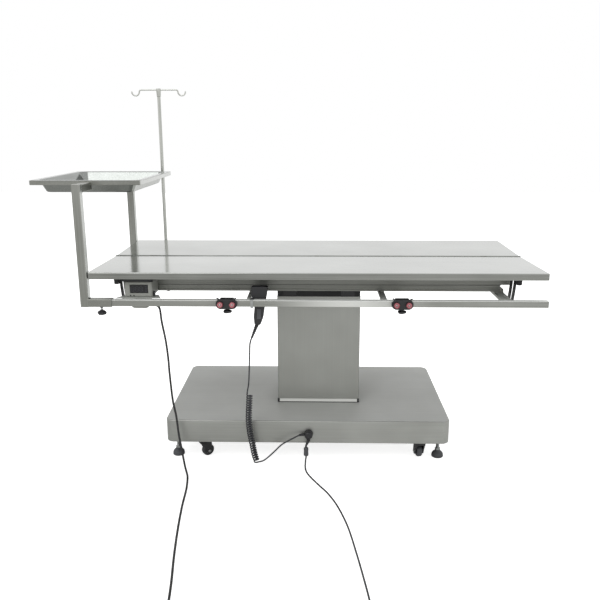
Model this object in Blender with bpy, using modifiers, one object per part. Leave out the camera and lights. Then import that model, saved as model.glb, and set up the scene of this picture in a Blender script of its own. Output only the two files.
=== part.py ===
"""Veterinary surgery table: a two-leaf tilting top on a telescoping lift column.

Metres, +Z up. X runs along the table, Y away from the user's side, Z up from the floor.
Every piece is placed from the middle of the top's plan, and one empty then moves them all,
so that the model's origin lies under the middle of the whole table.
"""
import math

import bmesh
import bpy
import numpy as np
from mathutils import Matrix, Vector

# General clearances
GAP = 0.0003
SLIDE_GAP = 0.0005
OVERRUN = 0.004
WELD = 0.00001

# Top: two folded sheets that meet at a pinned fold
TOP_LENGTH = 1.350
TOP_WIDTH = 0.600
TOP_HEIGHT = 0.630
SHEET = 0.0015
SKIRT = 0.021
SKIRT_HEM = 0.010
TOP_CORNER = 0.004
TOP_EDGE = 0.003
FOLD_SAG = 0.005
PIN_DROP = 0.001
PIN_RADIUS = 0.0015
BORE_RADIUS = 0.0018
BARREL_RADIUS = 0.003
LEAF_SETBACK = 0.0034
KNUCKLE_GAP = 0.0005
PIN_SIDES = 10
INNER_KNUCKLES = 2
MAT_SIZE = (1.040, 0.240, 0.003)
MAT_SETBACK = 0.030

# Top frame: two welded rings, head, struts and tilt guides
FRAME_LENGTH = 1.130
FRAME_WIDTH = 0.380
FRAME_BAR = 0.025
FRAME_TOP = 0.585
FRAME_MIDDLE = 0.570
FRAME_BOTTOM = 0.5555
FRAME_STEP = 0.0015
WELD_DEPTH = 0.0005
HEAD_BAR_WIDTH = 0.040
HEAD_BAR_OFFSET = 0.090
HEAD_PLATE = (0.262, 0.196, 0.008)
HEAD_BOTTOM = 0.5283
LUG_WIDTH = 0.020
LUG_THICKNESS = 0.005
STRUT_WIDTH = 0.030
STRUT_THICKNESS = 0.007
STRUT_X = 0.560
STRUT_LAP = 0.050
MIDDLE_STRUT_WIDTH = 0.010
MIDDLE_STRUT_X = 0.2035

# Rails
RAIL_LENGTH = 1.358
RAIL = 0.020
RAIL_BOTTOM = 0.527
RAIL_EDGE = 0.002

# Tilt arcs
TILT_RANGE = math.radians(20)
ARC_X = 0.592
ARC_RADIUS = 0.228
ARC_DEPTH = 0.022
ARC_WIDTH = 0.014
ARC_SLOT = 0.006
ARC_STEPS = 6
ARC_END_MARGIN = math.radians(0.5)
ARC_BRIDGE = math.radians(2.0)
ARC_START = math.radians(0.5)
TONGUE_ANGLE = math.radians(6.0)
TONGUE_WIDTH = 0.005
TONGUE_THICKNESS = 0.006
TONGUE_LENGTH = 0.072
BRACKET_DEPTH = 0.020
BRACKET_TOP = 0.608
ARC_FOOT = (0.036, 0.064, 0.003)
ARC_FOOT_MIDDLE = 0.2435
BUFFER_TOP = 0.010
BUFFER_BOTTOM = 0.005
BUFFER_HEIGHT = 0.026
BUFFER_OUT = 0.007
BUFFER_MIDDLE = 0.262

# Lift column
COLUMN_X = 0.007
OUTER_SLEEVE = (0.270, 0.204)
SLEEVE_WALL = 0.002
SLEEVE_SPACE = 0.006
SLEEVE_CORNER = 0.004
GLIDE_HEIGHT = 0.030
OUTER_TOP = 0.511
MIDDLE_TOP = 0.508
INNER_TOP = 0.495
SEAL_STEP = 0.001
BRIDGE = (0.040, 0.008)
ROD_RADIUS = 0.013
STAGE_RADIUS = 0.018
STAGE_BORE = 0.0145
SPINDLE_RADIUS = 0.023
SPINDLE_BORE = 0.0195
SPINDLE_TOP = 0.490
STAGE_LIFT_OFF = 0.160
GEARBOX = (0.090, 0.160, 0.040)

# Base
BASE_SIZE = (0.898, 0.515)
BASE_X = -0.028
BASE_TOP = 0.1456
BASE_BOTTOM = 0.0709
BASE_CORNER = 0.025
BASE_EDGE = 0.004
BASE_HEM = 0.010
BAR = (0.032, 0.025)
BAR_INSET = 0.012
COLUMN_PLATE = (0.280, 0.008)
POST_WIDTH = 0.034
TRIM_TOP = 0.158
TRIM_STEP = 0.001

# Feet
FOOT_INSET = 0.026
FOOT_FRONT_INSET = 0.060
STEM_RADIUS = 0.0055
STEM_TOP = 0.128
STEM_HOLE_DEPTH = 0.020
PAD_RADIUS = 0.019
PAD_RIM = 0.009
PAD_HEIGHT = 0.024
PAD_NECK = 0.009

# Casters
CASTER_LEFT_INSET = 0.113
CASTER_RIGHT_INSET = 0.086
CASTER_FRONT_INSET = 0.047
CASTER_TOP = 0.070
CASTER_BEARING_RADIUS = 0.015
CASTER_BEARING = 0.006
FORK_WIDTH = 0.030
FORK_SLOT = 0.020
FORK_DEPTH = 0.034
FORK_NOSE = 0.011
FORK_NOSE_SWEEP = (math.radians(171), math.radians(378))
TRAIL = 0.012
AXLE_HEIGHT = 0.0205
AXLE_RADIUS = 0.003
WHEEL_RADIUS = 0.0195
WHEEL_WIDTH = 0.018
WHEEL_CROWN = 0.0035
WHEEL_CLEARANCE = 0.003
CASTER_TURNS = {"front_left": math.radians(-58), "front_right": math.radians(8),
                "rear_left": math.radians(20), "rear_right": math.radians(-15)}

# Tray and its stand
TUBE = 0.025
STAND_X = -0.689
STAND_SLEEVE_END = -0.608
STAND_TOP = 0.8855
SLEEVE_PLAY = 0.0003
TRAY_SIZE = (0.338, 0.440)
TRAY_X = -0.695
TRAY_Y = 0.020
TRAY_RING = 0.015
TRAY_RING_HEIGHT = 0.0135
TRAY_RING_BOTTOM = 0.8755
TRAY_CORNER = 0.035
TRAY_SHEET = 0.001
TRAY_PLAY = 0.003
TRAY_BOTTOM = 0.852
TRAY_DRAFT = 0.021
STAND_KNOB_X = -0.642

# Knobs on screws
SCREW_RADIUS = 0.003
SCREW_HOLE = 0.0035
COLLAR_RADIUS = 0.006
COLLAR_HEIGHT = 0.003
STAND_KNOB = {"radius": 0.0135, "thick": 0.009, "neck": 0.0055, "drop": 0.0125, "lobes": 6}
CLEAT_KNOB = {"radius": 0.0128, "thick": 0.009, "neck": 0.0045, "drop": 0.0070, "lobes": 3}
POLE_KNOB = {"radius": 0.0125, "thick": 0.009, "neck": 0.0045, "drop": 0.0080, "lobes": 6}
LOBE_SHARE = 0.10
LOBE_POINTS = 4

# Drip pole
POLE_X = -0.572
POLE_RADIUS = 0.006
POLE_BORE = 0.0063
POLE_BOTTOM = 0.430
POLE_TOP = 1.162
CLAMP_WALL = 0.0035
CLAMP_WIDTH = 0.036
CLAMP_LIP = 0.004
CLAMP_BACK = 0.006
FUNNEL_TOP = 1.178
FUNNEL_BOTTOM = 1.150
FUNNEL_RADIUS = 0.0085
FUNNEL_NECK = 0.0072
HOOK_WIRE = 0.0025
HOOK_BAR_Z = 1.1755
HOOK_SPAN = 0.070
HOOK_SHOULDER = 0.007
HOOK_BOWL = 0.0135
HOOK_LOW = 1.1505
HOOK_TIP = 1.169
HOOK_STEPS = 4

# Cord cleats
CLEAT_XS = {"left": -0.266, "right": 0.252}
CLEAT_SIZE = (0.064, 0.030, 0.008)
CLEAT_MIDDLE = 0.5365
CLEAT_WALL = 0.0035
CLEAT_GRIP = 0.040
CLEAT_LIP = 0.004
HORN_RADIUS = 0.003
HORN_HEIGHT = 0.006
HORN_X = 0.024
CAM_X = 0.018
CAM_DROP = 0.003
CAM_TILT = math.radians(20)
CAM_RADIUS = 0.0095
CAM_THICKNESS = 0.006
CAM_TEETH = 11
CAM_TOOTH_SHARE = 0.10
CAM_BORE = 0.0028
CAM_PIN = 0.0025
BOSS_HEIGHT = 0.005
BOSS_RADIUS = 0.007

# Control box
BOX_SIZE = (0.0835, 0.0797, 0.046)
BOX_X = -0.53425
BOX_TOP = 0.595
BOX_EDGE = 0.003
BELLY_SIZE = (0.058, 0.060, 0.045)
BELLY_X = -0.535
BELLY_Y = -0.235
BELLY_BOTTOM = 0.5094
BELLY_EDGE = 0.014
DISPLAY = (0.055, 0.026)
DISPLAY_X = -0.532
DISPLAY_Z = 0.5737
DISPLAY_DEPTH = 0.001
RELIEF_RADIUS = 0.006
RELIEF_LENGTH = 0.006
SWITCH_SIZE = (0.010, 0.008, 0.013)
SWITCH_Y = -0.258
SWITCH_Z = 0.5575
SWITCH_OUT = 0.006
SWITCH_PLAY = 0.0004
SWITCH_SWING = 0.0014

# Hand control
HANDSET_X = -0.1703
HANDSET_WIDTH = 0.0507
HANDSET_HEIGHT = 0.120
HANDSET_TOP = 0.584
HANDSET_THICKNESS = 0.022
HANDSET_SETBACK = 0.0015
HANDSET_LEFT_SHARES = ((-0.5, 1.0), (-0.46, 0.45), (-0.40, 0.12), (-0.30, 0.0))
HANDSET_RIGHT_SHARES = ((0.10, 0.0), (0.22, 0.10), (0.38, 0.45), (0.5, 1.0))
HOOK_X = -0.1915
HOOK_WIDTH = 0.008
HOOK_STRAP = 0.0025
ROCKER_SIZE = (0.015, 0.006, 0.032)
ROCKER_Z = 0.500
ROCKER_OUT = 0.0015
ROCKER_PLAY = 0.0004
ROCKER_SWING = 0.0012
RELIEF_START = (-0.1790, 0.466)
RELIEF_END = (-0.1970, 0.4210)
RELIEF_TOP_RADIUS = 0.006
RELIEF_TIP_RADIUS = 0.003

# Cable gland
GLAND_X = -0.024
GLAND_Z = 0.104
GLAND_RADIUS = 0.014
GLAND_SIDES = 16
GLAND_LENGTH = 0.018
GLAND_NOSE = 0.004
GLAND_STUB_RADIUS = 0.010
GLAND_STUB = 0.012

# Cords: each route is a list of places chosen along the cord
CORD_SIDES = 2
FORM_SIDES = 1
COIL_POINTS = 24
CURL_POINTS = 8
HEATER_CORD = 0.0065
LIFT_CORD = 0.0050
LEAD_CORD = 0.0065
CURL_WIRE = 0.0040
CURL_OUTSIDE = 0.0145
CURLS = 28
CURL_RUN_IN_SHARE = 0.035
CURL_LOOK_SHARE = 0.01
CORD_STEP_SHARE = 3.0
SELF_GAP_SKIP_SHARE = 2.2
COIL_PITCH_SHARE = 1.26
COIL_RISE_SHARE = 1.13
COIL_ACROSS_SHARE = 11.5
HEATER_COIL = {"layers": 2, "total": 5}
LIFT_COIL = {"layers": 4, "total": 8}
COIL_Y = -1.000
COIL_TURNS_UP = 0.5
COIL_LEAD = 0.030
CONNECTOR_RADIUS = 0.0075
CONNECTOR_LENGTH = 0.028
CONNECTOR_EDGE = 0.0015
CONNECTOR_TOP = (-0.0315, -0.2735, 0.063)
PLUG_RADIUS = 0.019
PLUG_NECK = 0.0065
PLUG_BODY = 0.018
PLUG_CONE = 0.020
PLUG_SHOULDER_SHARE = 0.8
PLUG_PIN = 0.0024
PLUG_PIN_LENGTH = 0.019
PLUG_PIN_SPREAD = 0.0095

HEATER_ROUTE = (
    (-0.4930, -0.2320, 0.5190), (-0.4872, -0.2325, 0.5160), (-0.4835, -0.2335, 0.5080),
    (-0.4810, -0.2350, 0.4930), (-0.4755, -0.2400, 0.4620),
    (-0.4640, -0.2500, 0.4050), (-0.4570, -0.2590, 0.3500), (-0.4540, -0.2650, 0.3060),
    (-0.4460, -0.2750, 0.2210), (-0.4360, -0.2820, 0.1690), (-0.4290, -0.2900, 0.1110),
    (-0.4210, -0.2980, 0.0690), (-0.4145, -0.3040, 0.0320), (-0.4085, -0.3140, 0.0110),
    (-0.4020, -0.3300, 0.0042), (-0.3930, -0.3620, 0.0036), (-0.3850, -0.4190, 0.0036),
    (-0.3820, -0.4570, 0.0036), (-0.3780, -0.5300, 0.0036), (-0.3680, -0.6400, 0.0036),
    (-0.3540, -0.7600, 0.0036), (-0.3400, -0.8600, 0.0036), (-0.3320, -0.9300, 0.0036),
    (-0.3300, -0.9650, 0.0036))
LIFT_ROUTE = (
    (-0.0315, -0.2735, 0.0297), (-0.0325, -0.2750, 0.0240), (-0.0335, -0.2800, 0.0130),
    (-0.0340, -0.2920, 0.0056),
    (-0.0315, -0.3100, 0.0029), (-0.0260, -0.3300, 0.0028), (-0.0140, -0.3570, 0.0028),
    (0.0110, -0.4040, 0.0028), (0.0360, -0.4500, 0.0028), (0.0620, -0.5200, 0.0028),
    (0.0860, -0.6200, 0.0028), (0.1030, -0.7400, 0.0028), (0.1160, -0.8500, 0.0028),
    (0.1230, -0.9200, 0.0028), (0.1250, -0.9650, 0.0028))
CURL_ROUTE = (
    (-0.2060, -0.2870, 0.2450), (-0.2070, -0.2870, 0.2110), (-0.2090, -0.2870, 0.1640),
    (-0.2060, -0.2870, 0.1210), (-0.1990, -0.2870, 0.0800), (-0.1930, -0.2870, 0.0450),
    (-0.1880, -0.2870, 0.0280))
DROP_ROUTE = (
    (-0.1985, -0.2870, 0.4150), (-0.2010, -0.2870, 0.3700), (-0.2035, -0.2870, 0.3100),
    (-0.2055, -0.2870, 0.2600))
LEAD_ROUTE = (
    (-0.1835, -0.2870, 0.0175), (-0.1740, -0.2870, 0.0185), (-0.1600, -0.2875, 0.0280),
    (-0.1470, -0.2880, 0.0390), (-0.1290, -0.2880, 0.0570), (-0.1070, -0.2870, 0.0790),
    (-0.0820, -0.2840, 0.0930), (-0.0660, -0.2790, 0.1000), (-0.0540, -0.2720, 0.1032))

# Sizes worked out from those above
FOLD_SLOPE = math.asin(FOLD_SAG / (TOP_WIDTH / 2))
PIN_Z = TOP_HEIGHT - FOLD_SAG - PIN_DROP
LUG_X = (FRAME_LENGTH - FRAME_BAR) / 2
RAIL_Y = (TOP_WIDTH - RAIL) / 2
RAIL_Z = RAIL_BOTTOM + RAIL / 2
BAR_TOP = BASE_TOP - SHEET - GAP
SLEEVE_BOTTOM = TRIM_TOP + SLIDE_GAP
POLE_Y = RAIL_Y + RAIL / 2 + CLAMP_WALL + POLE_BORE
CLAMP_REAR = POLE_Y + POLE_BORE + CLAMP_BACK
CLEAT_FRONT = -RAIL_Y - RAIL / 2 - GAP - CLEAT_SIZE[2]
CAM_REACH = (BOSS_HEIGHT + GAP + CAM_THICKNESS) * math.cos(CAM_TILT) + CAM_RADIUS * math.sin(CAM_TILT)
LEFT = TRAY_X - TRAY_SIZE[0] / 2
RIGHT = RAIL_LENGTH / 2
FRONT = CLEAT_FRONT - CAM_REACH
REAR = CLAMP_REAR + POLE_KNOB["drop"] + POLE_KNOB["thick"]
MIDDLE_SLEEVE = tuple(side - 2 * (SLEEVE_WALL + SLEEVE_SPACE) for side in OUTER_SLEEVE)
INNER_COLUMN = tuple(side - 2 * (SLEEVE_WALL + SLEEVE_SPACE) for side in MIDDLE_SLEEVE)

# Colour as seen, roughness and metallic value of each finish
FINISHES = {
    "top_steel": ("#D2D5D1", 0.22, 1.0),
    "satin_steel": ("#9A9B95", 0.38, 1.0),
    "polished_steel": ("#E2E3E1", 0.12, 1.0),
    "painted_frame": ("#5A5C56", 0.50, 0.0),
    "zinc": ("#A7A9A8", 0.40, 1.0),
    "black_plastic": ("#1C1C1E", 0.45, 0.0),
    "black_rubber": ("#18181A", 0.80, 0.0),
    "grey_rubber": ("#5E6062", 0.70, 0.0),
    "red_plastic": ("#8E343B", 0.40, 0.0),
    "box_grey": ("#A5A7A0", 0.45, 0.0),
    "cord_grey": ("#8F9193", 0.50, 0.0),
}


def linear(hex_colour):
    """Linear red, green, blue and alpha of an sRGB colour."""
    parts = [int(hex_colour[i:i + 2], 16) / 255 for i in (1, 3, 5)]
    return [p / 12.92 if p <= 0.04045 else ((p + 0.055) / 1.055) ** 2.4 for p in parts] + [1.0]


def finish(name):
    """The material of one finish, made once."""
    if name in bpy.data.materials:
        return bpy.data.materials[name]
    colour, roughness, metallic = FINISHES[name]
    material = bpy.data.materials.new(name)
    material.use_nodes = True
    shader = material.node_tree.nodes["Principled BSDF"]
    shader.inputs["Base Color"].default_value = linear(colour)
    shader.inputs["Roughness"].default_value = roughness
    shader.inputs["Metallic"].default_value = metallic
    material.diffuse_color = linear(colour)
    return material


def put(name, mesh, at=(0, 0, 0), turn=(0, 0, 0), look="satin_steel"):
    """Place a mesh as an object of the table."""
    item = bpy.data.objects.new(name, mesh)
    item.location = at
    item.rotation_euler = turn
    item.parent = ORIGIN
    PARTS.objects.link(item)
    mesh.materials.clear()
    mesh.materials.append(finish(look))
    mesh.set_sharp_from_angle(angle=math.radians(30))
    return item


def as_mesh(shape, name="shape"):
    """A mesh from a bmesh, which is freed."""
    mesh = bpy.data.meshes.new(name)
    bmesh.ops.recalc_face_normals(shape, faces=shape.faces)
    shape.to_mesh(mesh)
    shape.free()
    return mesh


def block(size, corner=0, edge=0, under=0, grain=2, steps=3):
    """A box about its centre. Its edges along the grain axis are rounded by corner, then its top
    edges by edge and its bottom edges by under."""
    shape = bmesh.new()
    bmesh.ops.create_cube(shape, size=1)
    bmesh.ops.scale(shape, vec=size, verts=shape.verts)
    if corner:
        long_edges = [e for e in shape.edges
                      if abs(e.verts[0].co[grain] - e.verts[1].co[grain]) > size[grain] / 2]
        bmesh.ops.bevel(shape, geom=long_edges, offset=corner, segments=steps, profile=0.5,
                        affect='EDGES')
    for radius, side in ((edge, 1), (under, -1)):
        if radius:
            level = side * size[2] / 2
            rim = [e for e in shape.edges if all(abs(v.co.z - level) < WELD for v in e.verts)]
            bmesh.ops.bevel(shape, geom=rim, offset=radius, segments=steps, profile=0.5,
                            affect='EDGES')
    return shape


def rod(radius, length, sides=14, end_radius=None, axis='Z', flat=False):
    """A cylinder or a cone about its centre along an axis; flat turns a facet to the front."""
    shape = bmesh.new()
    bmesh.ops.create_cone(shape, cap_ends=True, segments=sides, radius1=radius,
                          radius2=radius if end_radius is None else end_radius, depth=length)
    if flat:
        bmesh.ops.rotate(shape, verts=shape.verts, matrix=Matrix.Rotation(math.pi / sides, 3, 'Z'))
    if axis == 'X':
        bmesh.ops.rotate(shape, verts=shape.verts, matrix=Matrix.Rotation(math.pi / 2, 3, 'Y'))
    if axis == 'Y':
        bmesh.ops.rotate(shape, verts=shape.verts, matrix=Matrix.Rotation(math.pi / 2, 3, 'X'))
    return shape


def gather(pieces):
    """One mesh from several bmeshes, each moved to its place."""
    whole = bmesh.new()
    for shape, place in pieces:
        bmesh.ops.translate(shape, vec=place, verts=shape.verts)
        whole.from_mesh(as_mesh(shape))
    return as_mesh(whole)


def turned(profile, closed=False):
    """A mesh line at +X, from the top of the outer side down, for a Screw modifier. A closed line
    leaves a bore."""
    mesh = bpy.data.meshes.new("profile")
    points = [(radius, 0, height) for radius, height in profile]
    edges = [(i, i + 1) for i in range(len(points) - 1)]
    mesh.from_pydata(points, edges + [(len(points) - 1, 0)] * closed, [])
    return mesh


def spin(item, sides=12):
    """Turn an object's profile about its own Z axis."""
    screw = item.modifiers.new("Turned", 'SCREW')
    screw.steps = screw.render_steps = sides
    screw.use_merge_vertices = True
    screw.merge_threshold = WELD
    return item


def converted(curve_data):
    """The welded mesh of a curve."""
    holder = bpy.data.objects.new("curve", curve_data)
    PARTS.objects.link(holder)
    bpy.context.view_layer.update()
    ready = holder.evaluated_get(bpy.context.evaluated_depsgraph_get())
    mesh = bpy.data.meshes.new_from_object(ready)
    bpy.data.objects.remove(holder, do_unlink=True)
    shape = bmesh.new()
    shape.from_mesh(mesh)
    bmesh.ops.remove_doubles(shape, verts=shape.verts, dist=WELD)
    return as_mesh(shape)


def slab(outline, thickness, axis='Z'):
    """A flat outline with a thickness. Its points are (x, y), or (y, z) for axis X, or (x, z) for
    axis Y, and the thickness runs along that axis."""
    curve = bpy.data.curves.new("outline", 'CURVE')
    curve.dimensions = '2D'
    curve.fill_mode = 'BOTH'
    curve.extrude = thickness / 2
    line = curve.splines.new('POLY')
    line.points.add(len(outline) - 1)
    for point, (a, b) in zip(line.points, outline):
        point.co = (a, b, 0, 1)
    line.use_cyclic_u = True
    mesh = converted(curve)
    if axis == 'X':
        mesh.transform(Matrix(((0, 0, 1, 0), (1, 0, 0, 0), (0, 1, 0, 0), (0, 0, 0, 1))))
    if axis == 'Y':
        mesh.transform(Matrix.Rotation(math.pi / 2, 4, 'X'))
    return mesh


def tube(points, diameter, resolution=CORD_SIDES):
    """A round wire or tube through its points, with closed ends."""
    curve = bpy.data.curves.new("tube", 'CURVE')
    curve.dimensions = '3D'
    curve.bevel_depth = diameter / 2
    curve.bevel_resolution = resolution
    curve.use_fill_caps = True
    line = curve.splines.new('POLY')
    line.points.add(len(points) - 1)
    for point, place in zip(line.points, points):
        point.co = (*place, 1)
    return converted(curve)


def combine(body, mesh, operation, at=(0, 0, 0), turn=(0, 0, 0)):
    """Join a mesh to a body, or cut it out of the body."""
    name = f"{body.name}_{operation.lower()}_{len(body.modifiers)}"
    tool = put(name, mesh, at, turn)
    PARTS.objects.unlink(tool)
    CUTTERS.objects.link(tool)
    tool.hide_render = True
    tool.display_type = 'WIRE'
    step = body.modifiers.new(name, 'BOOLEAN')
    step.operation = operation
    step.solver = 'EXACT'
    step.object = tool
    return tool


def join(body, mesh, at=(0, 0, 0), turn=(0, 0, 0)):
    return combine(body, mesh, 'UNION', at, turn)


def cut(body, mesh, at=(0, 0, 0), turn=(0, 0, 0)):
    return combine(body, mesh, 'DIFFERENCE', at, turn)


def open_below(shape, size, hem, skip_side=False):
    """Open a box downwards and leave a hem turned in; skip_side also opens its +Y side."""
    low = -size[2] / 2
    bottom = [f for f in shape.faces if all(abs(v.co.z - low) < WELD for v in f.verts)]
    bmesh.ops.inset_region(shape, faces=bottom, thickness=hem, use_even_offset=True)
    gone = list(bottom)
    if skip_side:
        reach = size[1] / 2 - hem
        gone += [f for f in shape.faces if f.calc_center_median().y > reach + WELD
                 and f not in bottom]
    bmesh.ops.delete(shape, geom=gone, context='FACES')
    return shape


def shell(name, shape, thickness, at, turn=(0, 0, 0), look="satin_steel"):
    """A sheet metal shell that thickens inwards."""
    mesh = bpy.data.meshes.new(name)
    shape.to_mesh(mesh)
    shape.free()
    item = put(name, mesh, at, turn, look)
    sheet = item.modifiers.new("Sheet", 'SOLIDIFY')
    sheet.thickness = thickness
    sheet.offset = -1
    sheet.use_even_offset = True
    return item


def arc(centre, radius, start, end, steps):
    """Points on an arc, both ends included."""
    return [(centre[0] + radius * math.cos(start + (end - start) * i / steps),
             centre[1] + radius * math.sin(start + (end - start) * i / steps))
            for i in range(steps + 1)]


def lobed(radius, lobes, share):
    """The outline of a lobed grip."""
    count = lobes * LOBE_POINTS
    return [(radius * (1 - share + share * math.cos(lobes * angle)) * math.cos(angle),
             radius * (1 - share + share * math.cos(lobes * angle)) * math.sin(angle))
            for angle in (2 * math.pi * i / count for i in range(count))]


def smooth(points, step):
    """Evenly spaced points on a smooth curve through the given ones."""
    knots = np.array(points, float)
    ends = np.vstack([2 * knots[0] - knots[1], knots, 2 * knots[-1] - knots[-2]])
    fine = [knots[0]]
    for a, b, c, d in zip(ends, ends[1:], ends[2:], ends[3:]):
        for t in np.linspace(0, 1, 13)[1:]:
            fine.append(0.5 * (2 * b + (c - a) * t + (2 * a - 5 * b + 4 * c - d) * t ** 2
                               + (3 * b - a - 3 * c + d) * t ** 3))
    fine = np.array(fine)
    along = np.concatenate([[0], np.cumsum(np.linalg.norm(np.diff(fine, axis=0), axis=1))])
    count = max(2, round(along[-1] / step))
    wanted = np.linspace(0, along[-1], count + 1)
    return np.stack([np.interp(wanted, along, fine[:, k]) for k in range(3)], axis=1)


def path_length(points):
    return float(np.linalg.norm(np.diff(np.array(points), axis=0), axis=1).sum())


def report_gap(name, points, diameter):
    """Print the least gap between turns of a wound tube."""
    points = np.array(points, float)
    along = np.concatenate([[0], np.cumsum(np.linalg.norm(np.diff(points, axis=0), axis=1))])
    reach = np.abs(along[:, None] - along[None, :]) > SELF_GAP_SKIP_SHARE * diameter
    apart = np.linalg.norm(points[:, None] - points[None, :], axis=2)
    gap = (apart[reach].min() - diameter) * 1000
    print(f"{name}: length {path_length(points):.3f} m, least gap to itself {gap:.2f} mm")


def make_top():
    """Two leaves, each a folded sheet with knuckles on the fold, the pin and the heating mats."""
    depth = TOP_WIDTH / 2 - LEAF_SETBACK
    barrel = (TOP_LENGTH / 2, LUG_X + LUG_WIDTH / 2, LUG_X - LUG_WIDTH / 2, LUG_WIDTH / 2)
    runs = ((-barrel[0], -barrel[1], 1), (-barrel[2], -barrel[3], INNER_KNUCKLES),
            (barrel[3], barrel[2], INNER_KNUCKLES), (barrel[1], barrel[0], 1))
    spans = []
    for start, end, count in runs:
        pitch = (end - start) / count
        spans += [(start + pitch * i, start + pitch * (i + 1)) for i in range(count)]
    for name, first, quarter in (("front", 0, 0), ("rear", 1, math.pi)):
        at = (0, 0, PIN_Z)
        turn = (-FOLD_SLOPE, 0, quarter)
        size = (TOP_LENGTH, depth, SKIRT)
        leaf_shape = leaf_sheet(size)
        middle = Vector((0, -LEAF_SETBACK - depth / 2, PIN_DROP - SKIRT / 2))
        bmesh.ops.translate(leaf_shape, vec=middle, verts=leaf_shape.verts)
        leaf = shell(f"top_{name}", leaf_shape, SHEET, at, turn, "top_steel")
        side = math.cos(quarter)
        barrels = []
        tabs = []
        for start, end in spans[first::2]:
            length = end - start - KNUCKLE_GAP
            x = side * (start + end) / 2
            barrels.append((rod(BARREL_RADIUS, length, PIN_SIDES, axis='X'), (x, 0, 0)))
            tab = (length, LEAF_SETBACK - BORE_RADIUS + SHEET, SHEET - WELD_DEPTH)
            tab_y = -BORE_RADIUS - tab[1] / 2
            tabs.append((block(tab), (x, tab_y, PIN_DROP - SHEET / 2)))
        join(leaf, gather(barrels), at, turn)
        join(leaf, gather(tabs), at, turn)
        cut(leaf, as_mesh(rod(BORE_RADIUS, TOP_LENGTH + OVERRUN, PIN_SIDES, axis='X')), at, turn)
        mat = block(MAT_SIZE)
        lift = Vector((0, -MAT_SETBACK - MAT_SIZE[1] / 2,
                       PIN_DROP - SHEET - GAP - MAT_SIZE[2] / 2))
        bmesh.ops.translate(mat, vec=lift, verts=mat.verts)
        put(f"heater_mat_{name}", as_mesh(mat), at, turn, "black_rubber")
    put("hinge_pin", as_mesh(rod(PIN_RADIUS, TOP_LENGTH, PIN_SIDES, axis='X')), (0, 0, PIN_Z),
        look="zinc")


def leaf_sheet(size):
    """One leaf's open sheet: rounded at the outer corners, open below and along the fold."""
    shape = open_below(block(size), size, SKIRT_HEM, skip_side=True)
    outer = [e for e in shape.edges if all(v.co.y < 0 for v in e.verts)
             and abs(e.verts[0].co.z - e.verts[1].co.z) > size[2] / 2]
    bmesh.ops.bevel(shape, geom=outer, offset=TOP_CORNER, segments=2, profile=0.5, affect='EDGES')
    rim = [e for e in shape.edges if all(abs(v.co.z - size[2] / 2) < WELD for v in e.verts)
           and not all(abs(v.co.y - size[1] / 2) < WELD for v in e.verts)]
    bmesh.ops.bevel(shape, geom=rim, offset=TOP_EDGE, segments=2, profile=0.5, affect='EDGES')
    return shape


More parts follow.
